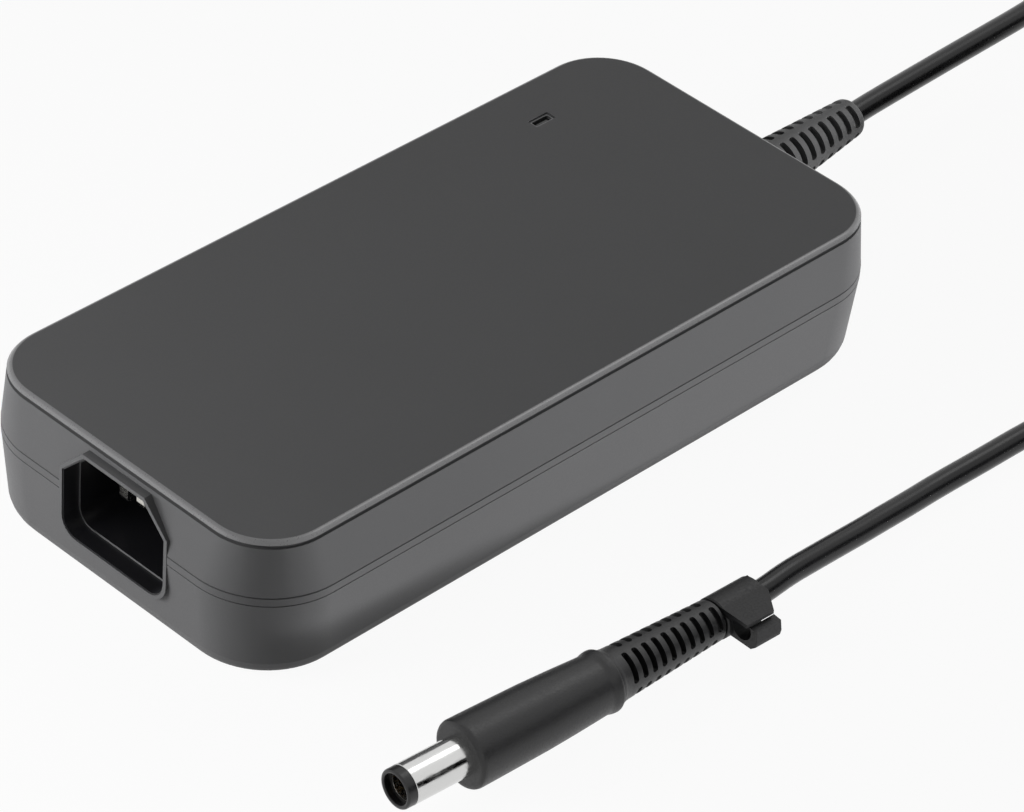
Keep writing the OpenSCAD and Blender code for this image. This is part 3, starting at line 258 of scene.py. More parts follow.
# What stays from the CAD frame only needs its finish: the parts inside the case and the plug
INSIDE = [
    # Rolled aluminium sheet: satin, with fine lines along the roll
    (finish_of("rolled_aluminium", ("#d2d3d4", "#c2c3c5"), (0.28, 0.42), 0.5, 0.006, 20,
               stretch=(16, 1, 1), Metallic=1.0),
     ["lower_heat_spreader", "upper_heat_spreader"]),
    # Extruded aluminium: satin, with lines along the extrusion
    (finish_of("extruded_aluminium", ("#c4c6c9", "#b2b4b7"), (0.3, 0.48), 0.4, 0.01, 14,
               stretch=(14, 1, 1), Metallic=1.0),
     ["primary_heatsink", "secondary_heatsink"]),
    # Polyester insulating film: pale straw, smooth, and clear enough to show what lies under it
    (finish_of("polyester_film", ("#e6dcb8", "#ddd2aa"), (0.16, 0.3), 3, 0.01, 18, IOR=1.57,
               Transmission_Weight=0.35),
     ["lower_film", "upper_film"]),
    # Silicone gap pads: soft grey-blue, dull and slightly bubbled
    (finish_of("silicone_gap_pad", ("#8f98a2", "#838c97"), (0.7, 0.85), 0.5, 0.05, 4, IOR=1.43),
     ["thermal_pads"]),
    # Glass-epoxy laminate under green solder mask: the glass cloth shows as a faint weave
    (finish_of("glass_epoxy_board", ("#1f5a38", "#184b2e"), (0.25, 0.4), 0.6, 0.01, 9, IOR=1.55),
     ["circuit_board", "control_board"]),
    # Epoxy moulding compound: black-grey and dull, with a fine grain from the mould
    (finish_of("moulded_epoxy", ("#232325", "#1b1b1d"), (0.45, 0.62), 0.25, 0.015, 5, IOR=1.56),
     ["bridge_rectifier", "primary_transistors", "control_chips", "optocouplers",
      "sync_rectifiers"]),
    # Phenolic bobbin and the plug's hard inner moulding: black, moulded and faintly shiny
    (finish_of("moulded_black_phenolic", ("#1c1b1a", "#151414"), (0.35, 0.5), 0.4, 0.01, 6,
               IOR=1.6),
     ["transformer_bobbin", "plug_core"]),
    # Sintered manganese-zinc ferrite: dark grey, ground on its faces and grainy between
    (finish_of("sintered_ferrite", ("#37383b", "#2b2c2f"), (0.5, 0.75), 0.35, 0.04, 5, IOR=2.2),
     ["choke_core", "pfc_core", "transformer_core"]),
    # Copper wire under amber enamel: a shine with turns that run round the core
    (finish_of("enamelled_copper", ("#b4653a", "#9a4f2b"), (0.2, 0.34), 0.8, 0.15, 5,
               stretch=(1, 1, 6), Metallic=1.0),
     ["choke_windings", "pfc_winding", "output_choke"]),
    # Polyester tape wound round the transformer: yellow and glossy with faint edges
    (finish_of("polyester_tape", ("#e0b83a", "#d3a92f"), (0.18, 0.32), 2.5, 0.04, 10,
               stretch=(5, 5, 1), IOR=1.6),
     ["transformer_winding"]),
    # PVC shrink sleeve on the electrolytic capacitors: dark blue and shiny, lightly rippled
    (finish_of("shrunk_pvc_sleeve", ("#232d4d", "#1b2440"), (0.16, 0.28), 2, 0.03, 9, IOR=1.53),
     ["bulk_capacitor", "output_capacitors"]),
    # Epoxy powder coat, dipped and cured: blue, glossy and a little uneven
    (finish_of("dipped_blue_epoxy", ("#2f5d98", "#264f86"), (0.14, 0.3), 1.4, 0.06, 4, IOR=1.55),
     ["varistor", "y_capacitors"]),
    # The same coat in green for the inrush thermistor
    (finish_of("dipped_green_epoxy", ("#2b5c3c", "#224c31"), (0.16, 0.32), 1.4, 0.06, 4, IOR=1.55),
     ["thermistor"]),
    # Polybutylene box of the X capacitor: yellow, moulded, half gloss
    (finish_of("moulded_yellow_pbt", ("#d9b648", "#cda83c"), (0.28, 0.42), 0.5, 0.015, 8, IOR=1.57),
     ["x_capacitor"]),
    # Steatite tube of the fuse: off-white, fired and faintly speckled
    (finish_of("fired_steatite", ("#e3ddcd", "#d5cebb"), (0.3, 0.5), 0.3, 0.01, 2, IOR=1.6),
     ["fuse"]),
    # Silicone package of the status light: milky white and smooth
    (finish_of("milky_silicone", ("#ecebe2", "#e2e0d4"), (0.3, 0.4), 0.5, 0.005, 2, IOR=1.41),
     ["status_led"]),
    # PVC wire insulation in brown, blue, green and dark red: smooth with faint drawing lines
    (finish_of("brown_pvc_insulation", ("#6a4023", "#5c361c"), (0.3, 0.42), 0.9, 0.02, 8, IOR=1.53),
     ["line_wire"]),
    (finish_of("blue_pvc_insulation", ("#2a5da8", "#234f93"), (0.3, 0.42), 0.9, 0.02, 8, IOR=1.53),
     ["neutral_wire"]),
    (finish_of("green_pvc_insulation", ("#6fa52c", "#5f9424"), (0.3, 0.42), 0.9, 0.02, 8, IOR=1.53),
     ["earth_wire"]),
    (finish_of("red_pvc_insulation", ("#7c2526", "#6b1e1f"), (0.3, 0.42), 0.9, 0.02, 8, IOR=1.53),
     ["output_wires"]),
    (cord_rubber, ["cord_jacket_end"]),
]
for material, nodes in INSIDE:
    for node in nodes:
        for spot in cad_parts[node].material_slots:
            spot.material = material

# ---------------------------------------------------------------- floor and background


def background_share(tree):
    """1 for rays that show the background: from the camera, in a reflection or through glass."""
    path = add(tree, "ShaderNodeLightPath").outputs
    seen = add(tree, "ShaderNodeMath", {
        0: path["Is Camera Ray"], 1: path["Is Glossy Ray"]}, operation="ADD")
    any_of_them = add(tree, "ShaderNodeMath", {
        0: seen.outputs[0], 1: path["Is Transmission Ray"]}, operation="ADD", use_clamp=True)
    return any_of_them.outputs[0]


# White paper sweep: its own colour is pale, and it keeps a little of the shadow that falls on it
SHADOW_SHARE = 0.06
FLOOR_SIZE, FLOOR_Z = 8, -0.0002  # in metres, a hair under the adapter
paper = blank("white_paper")
tree = paper.node_tree
lit = add(tree, "ShaderNodeBsdfDiffuse", {"Color": paint("#e8e8e8")})
bright = add(tree, "ShaderNodeEmission", {"Color": paint("#ffffff"), "Strength": 1.0})
share = add(tree, "ShaderNodeMath", {
    0: background_share(tree), 1: 1 - SHADOW_SHARE}, operation="MULTIPLY")
sweep = add(tree, "ShaderNodeMixShader", {
    0: share.outputs[0], 1: lit.outputs[0], 2: bright.outputs[0]})
add(tree, "ShaderNodeOutputMaterial", {"Surface": sweep.outputs[0]})

bpy.ops.object.select_all(action="DESELECT")
bpy.ops.mesh.primitive_plane_add(size=FLOOR_SIZE, location=(0, 0, FLOOR_Z))
floor = bpy.context.object
floor.name = "paper_floor"
bpy.ops.object.transform_apply(location=True, rotation=True, scale=True)
floor.data.materials.append(paper)

# Black card by the plug: it only shows in reflections, as a dark band along the plug and the cord
CARD_AT, CARD_TURN, CARD_SIZE = (0.32, -0.56, 0.155), radians(36), (0.9, 0.28)  # in metres
card_black = blank("black_card")
dull = add(card_black.node_tree, "ShaderNodeBsdfDiffuse", {"Color": paint("#0c0c0c")})
add(card_black.node_tree, "ShaderNodeOutputMaterial", {"Surface": dull.outputs[0]})
bpy.ops.mesh.primitive_plane_add(size=1, location=CARD_AT, rotation=(pi / 2, 0, CARD_TURN))
card = bpy.context.object
card.name = "black_card"
card.scale = (*CARD_SIZE, 1)
bpy.ops.object.transform_apply(location=True, rotation=True, scale=True)
card.data.materials.append(card_black)
card.visible_camera = card.visible_diffuse = False
card.visible_shadow = card.visible_transmission = False

# The room: white where it is seen, and a plain low level of light on the adapter
FILL_LIGHT = 0.06
world = bpy.data.worlds.new("studio")
bpy.context.scene.world = world
world.use_nodes = True
tree = world.node_tree
tree.nodes.clear()
level = add(tree, "ShaderNodeMapRange", {
    "Value": background_share(tree), "To Min": FILL_LIGHT, "To Max": 1.0})
room = add(tree, "ShaderNodeBackground", {
    "Color": paint("#ffffff"), "Strength": level.outputs[0]})
add(tree, "ShaderNodeOutputWorld", {"Surface": room.outputs[0]})

# ---------------------------------------------------------------- modelling by hand

WELD = 0.0005  # points closer than this, in millimetres, become one
PARALLEL = 0.9  # a direction's share along an axis, above which it runs along it


def alone(obj):
    """Select this object and nothing else."""
    bpy.ops.object.select_all(action="DESELECT")
    obj.select_set(True)
    bpy.context.view_layer.objects.active = obj


def pick(obj, kind, test):
    """Open edit mode with the edges or faces selected that pass the test.

    The test gets the middle, and a face's normal or an edge's direction.
    """
    alone(obj)
    bpy.ops.object.mode_set(mode="EDIT")
    bpy.ops.mesh.select_mode(type=kind)
    bpy.ops.mesh.select_all(action="DESELECT")
    mesh = bmesh.from_edit_mesh(obj.data)
    mesh.normal_update()
    if kind == "FACE":
        for face in mesh.faces:
            face.select_set(test(face.calc_center_median(), face.normal))
    else:
        for edge in mesh.edges:
            a, b = (v.co for v in edge.verts)
            if test((a + b) / 2, (b - a).normalized()):
                edge.select_set(True)
    bmesh.update_edit_mesh(obj.data)


def done():
    """Leave edit mode."""
    bpy.ops.object.mode_set(mode="OBJECT")


def round_edges(obj, test, size, steps=1):
    """Chamfer (one step) or round the edges that pass the test."""
    pick(obj, "EDGE", test)
    bpy.ops.mesh.bevel(
        offset=size, offset_type="OFFSET", segments=steps, profile=0.5, affect="EDGES")
    done()


def block(name, low, high):
    """A box between two corners."""
    bpy.ops.object.select_all(action="DESELECT")
    bpy.ops.mesh.primitive_cube_add(size=1, location=[(a + b) / 2 for a, b in zip(low, high)])
    obj = bpy.context.object
    obj.name = name
    obj.scale = [b - a for a, b in zip(low, high)]
    bpy.ops.object.transform_apply(location=True, rotation=True, scale=True)
    return obj


def line(name, points):
    """A line drawn from point to point, left open in edit mode with its last point selected."""
    bpy.ops.object.select_all(action="DESELECT")
    bpy.ops.mesh.primitive_plane_add(size=1)
    obj = bpy.context.object
    obj.name = name
    bpy.ops.object.mode_set(mode="EDIT")
    bpy.ops.mesh.select_mode(type="VERT")
    bpy.ops.mesh.select_all(action="SELECT")
    bpy.ops.mesh.merge(type="CENTER")
    bpy.ops.transform.translate(value=points[0])
    for a, b in zip(points, points[1:]):
        bpy.ops.mesh.extrude_vertices_move(
            TRANSFORM_OT_translate={"value": [q - p for p, q in zip(a, b)]})
    return obj


def turned(name, section, steps=96, closed=True):
    """A turned shape. Its half section is given as (distance along Z, radius)."""
    points = [(r, 0, z) for z, r in section]
    obj = line(name, points + points[:1] if closed else points)
    bpy.ops.mesh.select_all(action="SELECT")
    bpy.ops.mesh.remove_doubles(threshold=WELD)
    bpy.ops.mesh.select_all(action="SELECT")
    bpy.ops.mesh.spin(steps=steps, angle=2 * pi, center=(0, 0, 0), axis=(0, 0, 1))
    bpy.ops.mesh.select_all(action="SELECT")
    bpy.ops.mesh.remove_doubles(threshold=WELD)
    bpy.ops.mesh.normals_make_consistent(inside=False)
    done()
    return obj


def prism(name, outline, low, high):
    """An outline in the YZ plane, given as (y, z), filled and drawn out along X."""
    obj = line(name, [(low, y, z) for y, z in outline])
    bpy.ops.mesh.select_all(action="SELECT")
    bpy.ops.mesh.edge_face_add()
    bpy.ops.mesh.extrude_region_move(TRANSFORM_OT_translate={"value": (high - low, 0, 0)})
    bpy.ops.mesh.select_all(action="SELECT")
    bpy.ops.mesh.normals_make_consistent(inside=False)
    done()
    return obj


def set_at(obj, at, turn=0, lay=False, rise=0):
    """Tip a piece up, turn it round Z and place it. lay first puts its Z axis along X."""
    alone(obj)
    obj.rotation_euler = (0, (pi / 2 if lay else 0) - rise, turn)
    obj.location = at
    bpy.ops.object.transform_apply(location=True, rotation=True, scale=True)
    return obj


def combine(obj, other, operation="DIFFERENCE"):
    """Cut another shape out of a piece, weld it on or keep what both share, and drop it."""
    alone(obj)
    change = obj.modifiers.new("boolean", "BOOLEAN")
    change.operation = operation
    change.solver = "EXACT"
    change.object = other
    bpy.ops.object.modifier_apply(modifier=change.name)
    bpy.data.objects.remove(other)
    return obj


def copy_of(obj):
    """A second object with its own mesh."""
    alone(obj)
    bpy.ops.object.duplicate(linked=False)
    return bpy.context.object


def joined(objs):
    """Several shapes as one object."""
    bpy.ops.object.select_all(action="DESELECT")
    for obj in objs:
        obj.select_set(True)
    bpy.context.view_layer.objects.active = objs[0]
    bpy.ops.object.join()
    return bpy.context.object


def soften(obj, width, steps=2, over=40):
    """Round every edge that turns more than so many degrees."""
    alone(obj)
    change = obj.modifiers.new("bevel", "BEVEL")
    change.limit_method = "ANGLE"
    change.angle_limit = radians(over)
    change.width = width
    change.segments = steps
    bpy.ops.object.modifier_apply(modifier=change.name)
    return obj


def hand_over(obj, material, slot, *nodes, body="adapter", smooth=30):
    """Merge doubles, shade, bring to metres and dress a piece, and let it stand for its nodes."""
    alone(obj)
    bpy.ops.object.mode_set(mode="EDIT")
    bpy.ops.mesh.select_all(action="SELECT")
    bpy.ops.mesh.remove_doubles(threshold=WELD)
    bpy.ops.mesh.normals_make_consistent(inside=False)
    done()
    bpy.ops.object.shade_smooth_by_angle(angle=radians(smooth))
    level = obj.modifiers.new("weighted_normals", "WEIGHTED_NORMAL")
    level.keep_sharp = True
    level.weight = 80
    bpy.ops.object.modifier_apply(modifier=level.name)
    obj.scale = (MM, MM, MM)
    bpy.ops.object.transform_apply(location=True, rotation=True, scale=True)
    obj.data.materials.clear()
    obj.data.materials.append(material)
    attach(obj, body)
    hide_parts(*nodes)
    return obj


# ---------------------------------------------------------------- cord

# The two stretches that the photo shows: from the case to the coil, and from the plug to the coil
RELIEF_END = RELIEF_AT + RELIEF_LEN * RELIEF_DIR
LEAD = [(117, 0.35, 18.1), (122.5, 0.5, 18.15), (128.5, 0.7, 18.15), (138, 1, 18.15),
        (149, 1.3, 18.15), (156, 1.5, 18.15), (165, 1.8, 18.2), (172, 1.5, 18.2), (180, -0.2, 18.2),
        (187.5, -5, 18.2), (192.5, -12.5, 18.3), (194.6, -21.5, 18.3), (194.7, -30, 18.3),
        (194.7, -40, 18.3)]
TAIL = [(11, -75.1, 5), (17.5, -74.8, 4.5), (24, -74.5, 3.9), (30.5, -74.3, 3.4),
        (37, -74.05, 2.95), (43.5, -73.9, 2.6), (51, -73.7, 2.3),
        (63, -74, 2.25), (74.5, -74.3, 2.25), (88, -75.2, 2.25), (102, -76.9, 2.25),
        (116, -79.5, 2.3), (130, -82.6, 2.5), (142, -85, 2.8), (151, -86.4, 3.1)]


def coil_point(t):
    """The coil's line after t turns: in and out again, and a layer down where it reverses."""
    fold = (t / LAYER_TURNS) % 2
    r = COIL_R_OUT - (COIL_R_OUT - COIL_R_IN) * (fold if fold < 1 else 2 - fold)
    down = sum(min(max(2 * (t - k * LAYER_TURNS) + 0.5, 0), 1) for k in (1, 2, 3))
    z = COIL_TOP_Z - TURN_PITCH * down
    return COIL_AT + Vector((r * cos(2 * pi * t), -r * sin(2 * pi * t), z))


coil = [coil_point(i / RINGS_PER_TURN) for i in range(int(4 * LAYER_TURNS * RINGS_PER_TURN) + 1)]
route = [RELIEF_END, RELIEF_END + 2 * CORD_R * RELIEF_DIR]
route += [Vector(p) for p in LEAD] + [coil[0] + Vector((0, 2 * CORD_R, 0))] + coil
route += [coil[-1] - Vector((2 * CORD_R, 0, 0))] + [Vector(p) for p in reversed(TAIL)]
route += [TAIL_END + s * TAIL_DIR for s in (11.6, 5.8, 0)]

bpy.ops.object.select_all(action="DESELECT")
bpy.ops.curve.primitive_bezier_curve_add(location=(0, 0, 0))
cord = bpy.context.object
cord.name = "dc_cord"
cord.data.bevel_depth = CORD_R * MM
cord.data.bevel_resolution = cord.data.resolution_u = 6
cord.data.use_fill_caps = True
spline = cord.data.splines[0]
spline.bezier_points.add(len(route) - len(spline.bezier_points))
for point, at in zip(spline.bezier_points, route):
    point.co = at * MM
    point.handle_left_type = point.handle_right_type = "AUTO"
cord.data.materials.append(cord_rubber)
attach(cord, "adapter")
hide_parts("dc_cord_lead", "dc_cord_coil", "dc_cord_tail")

# ---------------------------------------------------------------- case


def outline_body(name, levels):
    """A closed shape that follows the case's outline, drawn out level by level.

    A level is its height, its inset from the widest outline and its corner radius. The first and
    the last are closed with a face.
    """
    z, inset, r = levels[0]
    half = Vector((END_X - inset, SIDE_Y - inset, 0))
    bpy.ops.object.select_all(action="DESELECT")
    bpy.ops.mesh.primitive_plane_add(size=2, location=(0, 0, z))
    obj = bpy.context.object
    obj.name = name
    obj.scale = (half.x, half.y, 1)
    bpy.ops.object.transform_apply(location=True, rotation=True, scale=True)
    bpy.ops.object.mode_set(mode="EDIT")
    bpy.ops.mesh.select_mode(type="VERT")
    bpy.ops.mesh.select_all(action="SELECT")
    bpy.ops.mesh.bevel(
        offset=r, offset_type="OFFSET", segments=CORNER_STEPS, profile=0.5, affect="VERTICES")
    bpy.ops.mesh.select_mode(type="FACE")
    bpy.ops.mesh.select_all(action="SELECT")
    for next_z, next_inset, next_r in levels[1:]:
        bpy.ops.mesh.extrude_region_move(
            TRANSFORM_OT_translate={"value": (0, 0, next_z - z)})
        mesh = bmesh.from_edit_mesh(obj.data)
        cap = next(face for face in mesh.faces if face.select)
        bpy.ops.mesh.select_mode(type="VERT")
        next_half = Vector((END_X - next_inset, SIDE_Y - next_inset, 0))
        for sx in (-1, 1):
            for sy in (-1, 1):
                for point in mesh.verts:
                    point.select_set(False)
                for point in cap.verts:
                    if point.co.x * sx > 0 and point.co.y * sy > 0:
                        point.select_set(True)
                mesh.select_flush_mode()
                old = Vector((sx * (half.x - r), sy * (half.y - r), next_z))
                new = Vector((sx * (next_half.x - next_r), sy * (next_half.y - next_r), next_z))
                bpy.ops.transform.resize(
                    value=(next_r / r, next_r / r, 1), center_override=old)
                bpy.ops.transform.translate(value=new - old)
        bpy.ops.mesh.select_mode(type="FACE")
        for face in mesh.faces:
            face.select_set(False)
        cap.select_set(True)
        bmesh.update_edit_mesh(obj.data)
        z, half, r = next_z, next_half, next_r
    bpy.ops.mesh.select_all(action="SELECT")
    bpy.ops.mesh.normals_make_consistent(inside=False)
    done()
    return obj


def socket_body(name, grow, low, high):
    """The inlet's outline, grown all round, as a block between two places on X."""
    half_y, half_z = SOCKET_WID / 2 + grow, SOCKET_HT / 2 + grow
    obj = block(name, (low, INLET_Y - half_y, INLET_Z - half_z),
                (high, INLET_Y + half_y, INLET_Z + half_z))
    round_edges(obj, lambda at, way: abs(way.x) > PARALLEL and at.z > INLET_Z,
                SOCKET_CHAMFER + grow * (2 - sqrt(2)))
    round_edges(obj, lambda at, way: abs(way.x) > PARALLEL and at.z < INLET_Z - half_z + 0.01,
                SOCKET_CORNER + grow, 6)
    return obj


# Both covers go from the inside over the seam to the outside
top_cover = outline_body("top_cover_moulding", [
    # the roof's inside, and the step that takes the base cover's lip
    (27.6, 3.45, 10.7), (20.15, 2.2, 13.6), (20.15, 1.1, 14.9), (18.6, 1.1, 14.9),
    # the seam and the wall, which leans in
    (18.6, 0.3, 15.8), (18.76, 0, 16.1), (19.2, 0.08, 16), (28.15, 1.7, 12.5), (28.35, 1.75, 12.4),
    # the groove under the raised edge
    (28.4, 2.2, 12), (28.5, 2.35, 11.8), (28.85, 2.35, 11.8), (28.98, 2.2, 11.9),
    # the raised edge, rounded over to the top
    (29, 1.9, 12.2), (29.08, 1.84, 12.2), (29.4, 2.1, 12), (29.65, 2.4, 11.7),
    (29.8, 2.8, 11.3), (29.8, 3.3, 10.8)])
base_cover = outline_body("base_cover_moulding", [
    # the floor's inside, the wall and the lip that stands up inside the top cover
    (2.2, 5.4, 11), (4.45, 3.7, 12.6), (16.9, 2.2, 13.9), (20.1, 2.2, 13.9), (20.1, 1.15, 14.9),
    # the seam, the upright band and the fine line under it
    (18.6, 1.15, 14.9), (18.6, 0.3, 15.8), (18.44, 0, 16.1), (17.02, 0, 16.1), (16.94, 0.22, 15.9),
    (16.86, 0.22, 15.9), (16.78, 0, 16.1), (16.6, 0.03, 16.1),
    # the wall, which leans in, rounded under to the flat underside
    (3.6, 1.17, 15.2), (3.35, 1.2, 15.2), (2.4, 1.45, 15.1), (1.6, 1.85, 14.8), (1, 2.3, 14.5),
    (0.55, 2.85, 14.1), (0.2, 3.55, 13.7), (0, 4.3, 13.3), (0, 4.9, 12.8)])

for cover in (top_cover, base_cover):
    combine(cover, socket_body("opening", OPENING_GROW + FRAME_WID / 2, -END_X - 2, SLEEVE_FRONT))
    combine(cover, socket_body("seat", INLET_WALL + FIT, SLEEVE_FRONT - FIT, INLET_FRONT))
    hole = turned("hole", [
        (-4, 0), (-4, RELIEF_R1 + FIT), (2, RELIEF_R1 + FIT), (2, 0)], closed=False)
    combine(cover, set_at(hole, RELIEF_AT, lay=True))

# The raised frame round the inlet, parted where the covers meet
FRAME_ROUND = 0.12
surround = socket_body("frame", OPENING_GROW + FRAME_WID, -END_X - FRAME_PROUD, INLET_FRONT - FIT)
round_edges(surround, lambda at, way: at.x < -END_X, FRAME_ROUND, 2)
bore = socket_body("bore", OPENING_GROW, -END_X - 2, INLET_FRONT)
combine(surround, bore)
combine(surround, socket_body("seat", INLET_WALL + FIT, SLEEVE_FRONT - FIT, INLET_FRONT + 1))
for cover, low, high in ((base_cover, 0, SPLIT_Z), (top_cover, SPLIT_Z, CASE_HT)):
    part = combine(copy_of(surround), block("keep", (-90, -50, low), (-60, 50, high)), "INTERSECT")
    combine(cover, part, "UNION")
bpy.data.objects.remove(surround)


def slot_block(name, grow, low, high):
    """The light's slot as a block with small rounded corners."""
    x, y = SLOT_LEN / 2 + grow, SLOT_WID / 2 + grow
    obj = block(name, (LIGHT_AT[0] - x, LIGHT_AT[1] - y, low),
                (LIGHT_AT[0] + x, LIGHT_AT[1] + y, high))
    round_edges(obj, lambda at, way: abs(way.z) > PARALLEL, 0.3, 4)
    return obj


combine(top_cover, slot_block("slot", 0, 20, CASE_HT + 1))
combine(top_cover, slot_block("rim", SLOT_RIM, CASE_HT - RIM_DEPTH, CASE_HT + 1))
hand_over(top_cover, case_plastic, "case_plastic", "top_cover")
# The raised edge and the light slot's rim take the lighter plastic as a painted highlight
top_cover.data.materials.append(painted_highlight_plastic)
EDGE_Z, RIM_Z = 29.03, CASE_HT - RIM_DEPTH
for face in top_cover.data.polygons:
    x, y, z = face.center / MM
    painted_highlight_edge = z > EDGE_Z and 0.1 < face.normal.z < 0.97
    painted_highlight_rim = abs(z - RIM_Z) < 0.1 and face.normal.z > PARALLEL and abs(x - LIGHT_AT[0]) < 3
    if painted_highlight_edge or painted_highlight_rim:
        face.material_index = 1
hand_over(base_cover, case_plastic, "case_plastic", "base_cover")

# Light pipe: a lens in the slot, its flange under the roof and its rod down to the status light
LENS_TOP, FLANGE_Z = CASE_HT - RIM_DEPTH - LENS_DEPTH, CASE_HT - WALL - LENS_FLANGE_T
lens = slot_block("light_lens", -FIT, CASE_HT - WALL - 0.5, LENS_TOP)
round_edges(lens, lambda at, way: at.z > LENS_TOP - 0.01, 0.15, 3)
combine(lens, slot_block("flange", LENS_FLANGE_GROW, FLANGE_Z, CASE_HT - WALL), "UNION")
rod = turned("rod", [
    (0, 0), (0, ROD_R), (ROD_LEN + ROD_SUNK, ROD_R), (ROD_LEN + ROD_SUNK, 0)], closed=False)
combine(lens, set_at(rod, (*LIGHT_AT, FLANGE_Z - ROD_LEN)), "UNION")
hand_over(lens, lens_acrylic, "window_plastic", "light_guide")

# ---------------------------------------------------------------- mains inlet

# One moulding: the housing behind the wall, and a thin lip that stands in the covers' opening
LIP_GROW = OPENING_GROW - FIT
LIP_FRONT = -END_X + 0.1
housing = socket_body("inlet_moulding", INLET_WALL, SLEEVE_FRONT, INLET_BACK)
lip = socket_body("lip", LIP_GROW, LIP_FRONT, SLEEVE_FRONT + 0.5)
combine(housing, lip, "UNION")
combine(housing, socket_body("recess", LIP_GROW - LIP_T, LIP_FRONT - 1, INLET_FRONT))
cavity = socket_body("cavity", 0, INLET_FRONT - 1, SOCKET_BACK)
combine(housing, cavity)
PINS = [("line", INLET_Y - PIN_PITCH / 2, INLET_Z - EARTH_RISE / 2, PIN_TIP),
        ("neutral", INLET_Y + PIN_PITCH / 2, INLET_Z - EARTH_RISE / 2, PIN_TIP),
        ("earth", INLET_Y, INLET_Z + EARTH_RISE / 2, EARTH_TIP)]
for name, y, z, tip in PINS:
    combine(housing, block("pin_hole", (SOCKET_BACK - 1, y - PIN_T / 2, z - PIN_HT / 2),
                           (INLET_BACK + 1, y + PIN_T / 2, z + PIN_HT / 2)))
hand_over(housing, inlet_plastic, "black_plastic", "inlet_housing")
# The front face round the cavity takes the lighter plastic as a painted highlight
housing.data.materials.append(painted_highlight_plastic)
for face in housing.data.polygons:
    if face.normal.x < -PARALLEL and abs(face.center.x / MM - INLET_FRONT) < 0.1:
        face.material_index = 1

# Flat pins with chamfered tips, each with a narrow tab behind the housing
for name, y, z, tip in PINS:
    blade = block(name + "_blade", (tip, y - PIN_T / 2, z - PIN_HT / 2),
                  (INLET_BACK, y + PIN_T / 2, z + PIN_HT / 2))
    round_edges(blade, lambda at, way: at.x < tip + 0.01 and abs(way.y) > PARALLEL, 0.9, 2)
    round_edges(blade, lambda at, way: abs(way.x) > PARALLEL or at.x < tip + 0.1, 0.12, 2)
    tab = block("tab", (INLET_BACK - 0.2, y - TAB_T / 2, z - PIN_HT / 2 + TAB_INSET),
                (TAB_END, y + TAB_T / 2, z + PIN_HT / 2 - TAB_INSET))
    combine(blade, tab, "UNION")
    hand_over(blade, pin_metal, "pin_metal", name + "_pin")

# ---------------------------------------------------------------- reliefs

SLOT_HALF_ANGLE = radians(36)  # half of what a slot takes of the way round
SLOT_ROUND = 0.42  # rounding of a slot's ends, as a share of its width


def slot_rows(count, pitch, width, inner, reach, start, late=0.0):
    """Cutters for a relief's slots round Z, with rounded ends, in four rows a quarter turn apart.

    Every other row starts later by a share of the pitch, and is then one slot shorter.
    """
    spread = tan(SLOT_HALF_ANGLE)
    wedge = block("wedge", (inner, -inner * spread, 0), (reach, inner * spread, width))
    pick(wedge, "FACE", lambda at, way: way.x > PARALLEL)
    bpy.ops.transform.resize(value=(1, reach / inner, 1), center_override=(reach, 0, width / 2))
    done()
    round_edges(wedge, lambda at, way: abs(way.x) > 0.5, width * SLOT_ROUND, 5)
    rows = []
    for k in range(4):
        row = copy_of(wedge)
        change = row.modifiers.new("array", "ARRAY")
        change.count = count - (k % 2) * ceil(late)
        change.use_relative_offset = False
        change.use_constant_offset = True
        change.constant_offset_displace = (0, 0, pitch)
        bpy.ops.object.modifier_apply(modifier=change.name)
        rows.append(set_at(row, (0, 0, start + (k % 2) * late * pitch), radians(45 + 90 * k)))
    bpy.data.objects.remove(wedge)
    return joined(rows)


# The case's relief: a flange inside the wall, a plain neck through it, and the slotted cone
WALL_S = END_X - FLANGE_X
NECK_R = RELIEF_R1 - 0.25
relief = turned("case_relief_moulding", [
    (0, 0), (0, RELIEF_FLANGE_R), (FLANGE_T, RELIEF_FLANGE_R), (FLANGE_T, RELIEF_R1),
    (WALL_S, RELIEF_R1), (WALL_S, NECK_R), (WALL_S + 0.9, NECK_R), (WALL_S + 0.9, 0)],
    closed=False)
set_at(relief, RELIEF_AT - Vector((WALL_S, 0, 0)), lay=True)
cone = turned("cone", [
    (0.35, 0), (0.35, RELIEF_R1), (RELIEF_LEN - 1.1, RELIEF_R2 + 0.03),
    (RELIEF_LEN - 0.6, RELIEF_R2 - 0.06), (RELIEF_LEN - 0.25, RELIEF_R2 - 0.25),
    (RELIEF_LEN - 0.06, RELIEF_R2 - 0.5), (RELIEF_LEN, RELIEF_R2 - 0.8), (RELIEF_LEN, 0)],
    closed=False)
slots = int((RELIEF_LEN - RELIEF_COLLAR - 1.6) / RELIEF_PITCH)
first_slot = RELIEF_LEN - RELIEF_COLLAR + RELIEF_PITCH - RELIEF_SLOT - slots * RELIEF_PITCH
combine(cone, slot_rows(
    slots, RELIEF_PITCH, RELIEF_SLOT, CORD_R + 0.6, RELIEF_R1 * 2, first_slot))
soften(cone, 0.22, 3)
set_at(cone, RELIEF_AT, RELIEF_TURN, lay=True, rise=RELIEF_RISE)
combine(relief, cone, "UNION")
BORE_R = CORD_R + FIT
bore = turned("bore", [(-9, 0), (-9, BORE_R), (RELIEF_LEN + 1, BORE_R), (RELIEF_LEN + 1, 0)],
              closed=False)
combine(relief, set_at(bore, RELIEF_AT, RELIEF_TURN, lay=True, rise=RELIEF_RISE))
case_relief = hand_over(relief, relief_rubber, "relief_rubber", "case_strain_relief")

# ---------------------------------------------------------------- plug

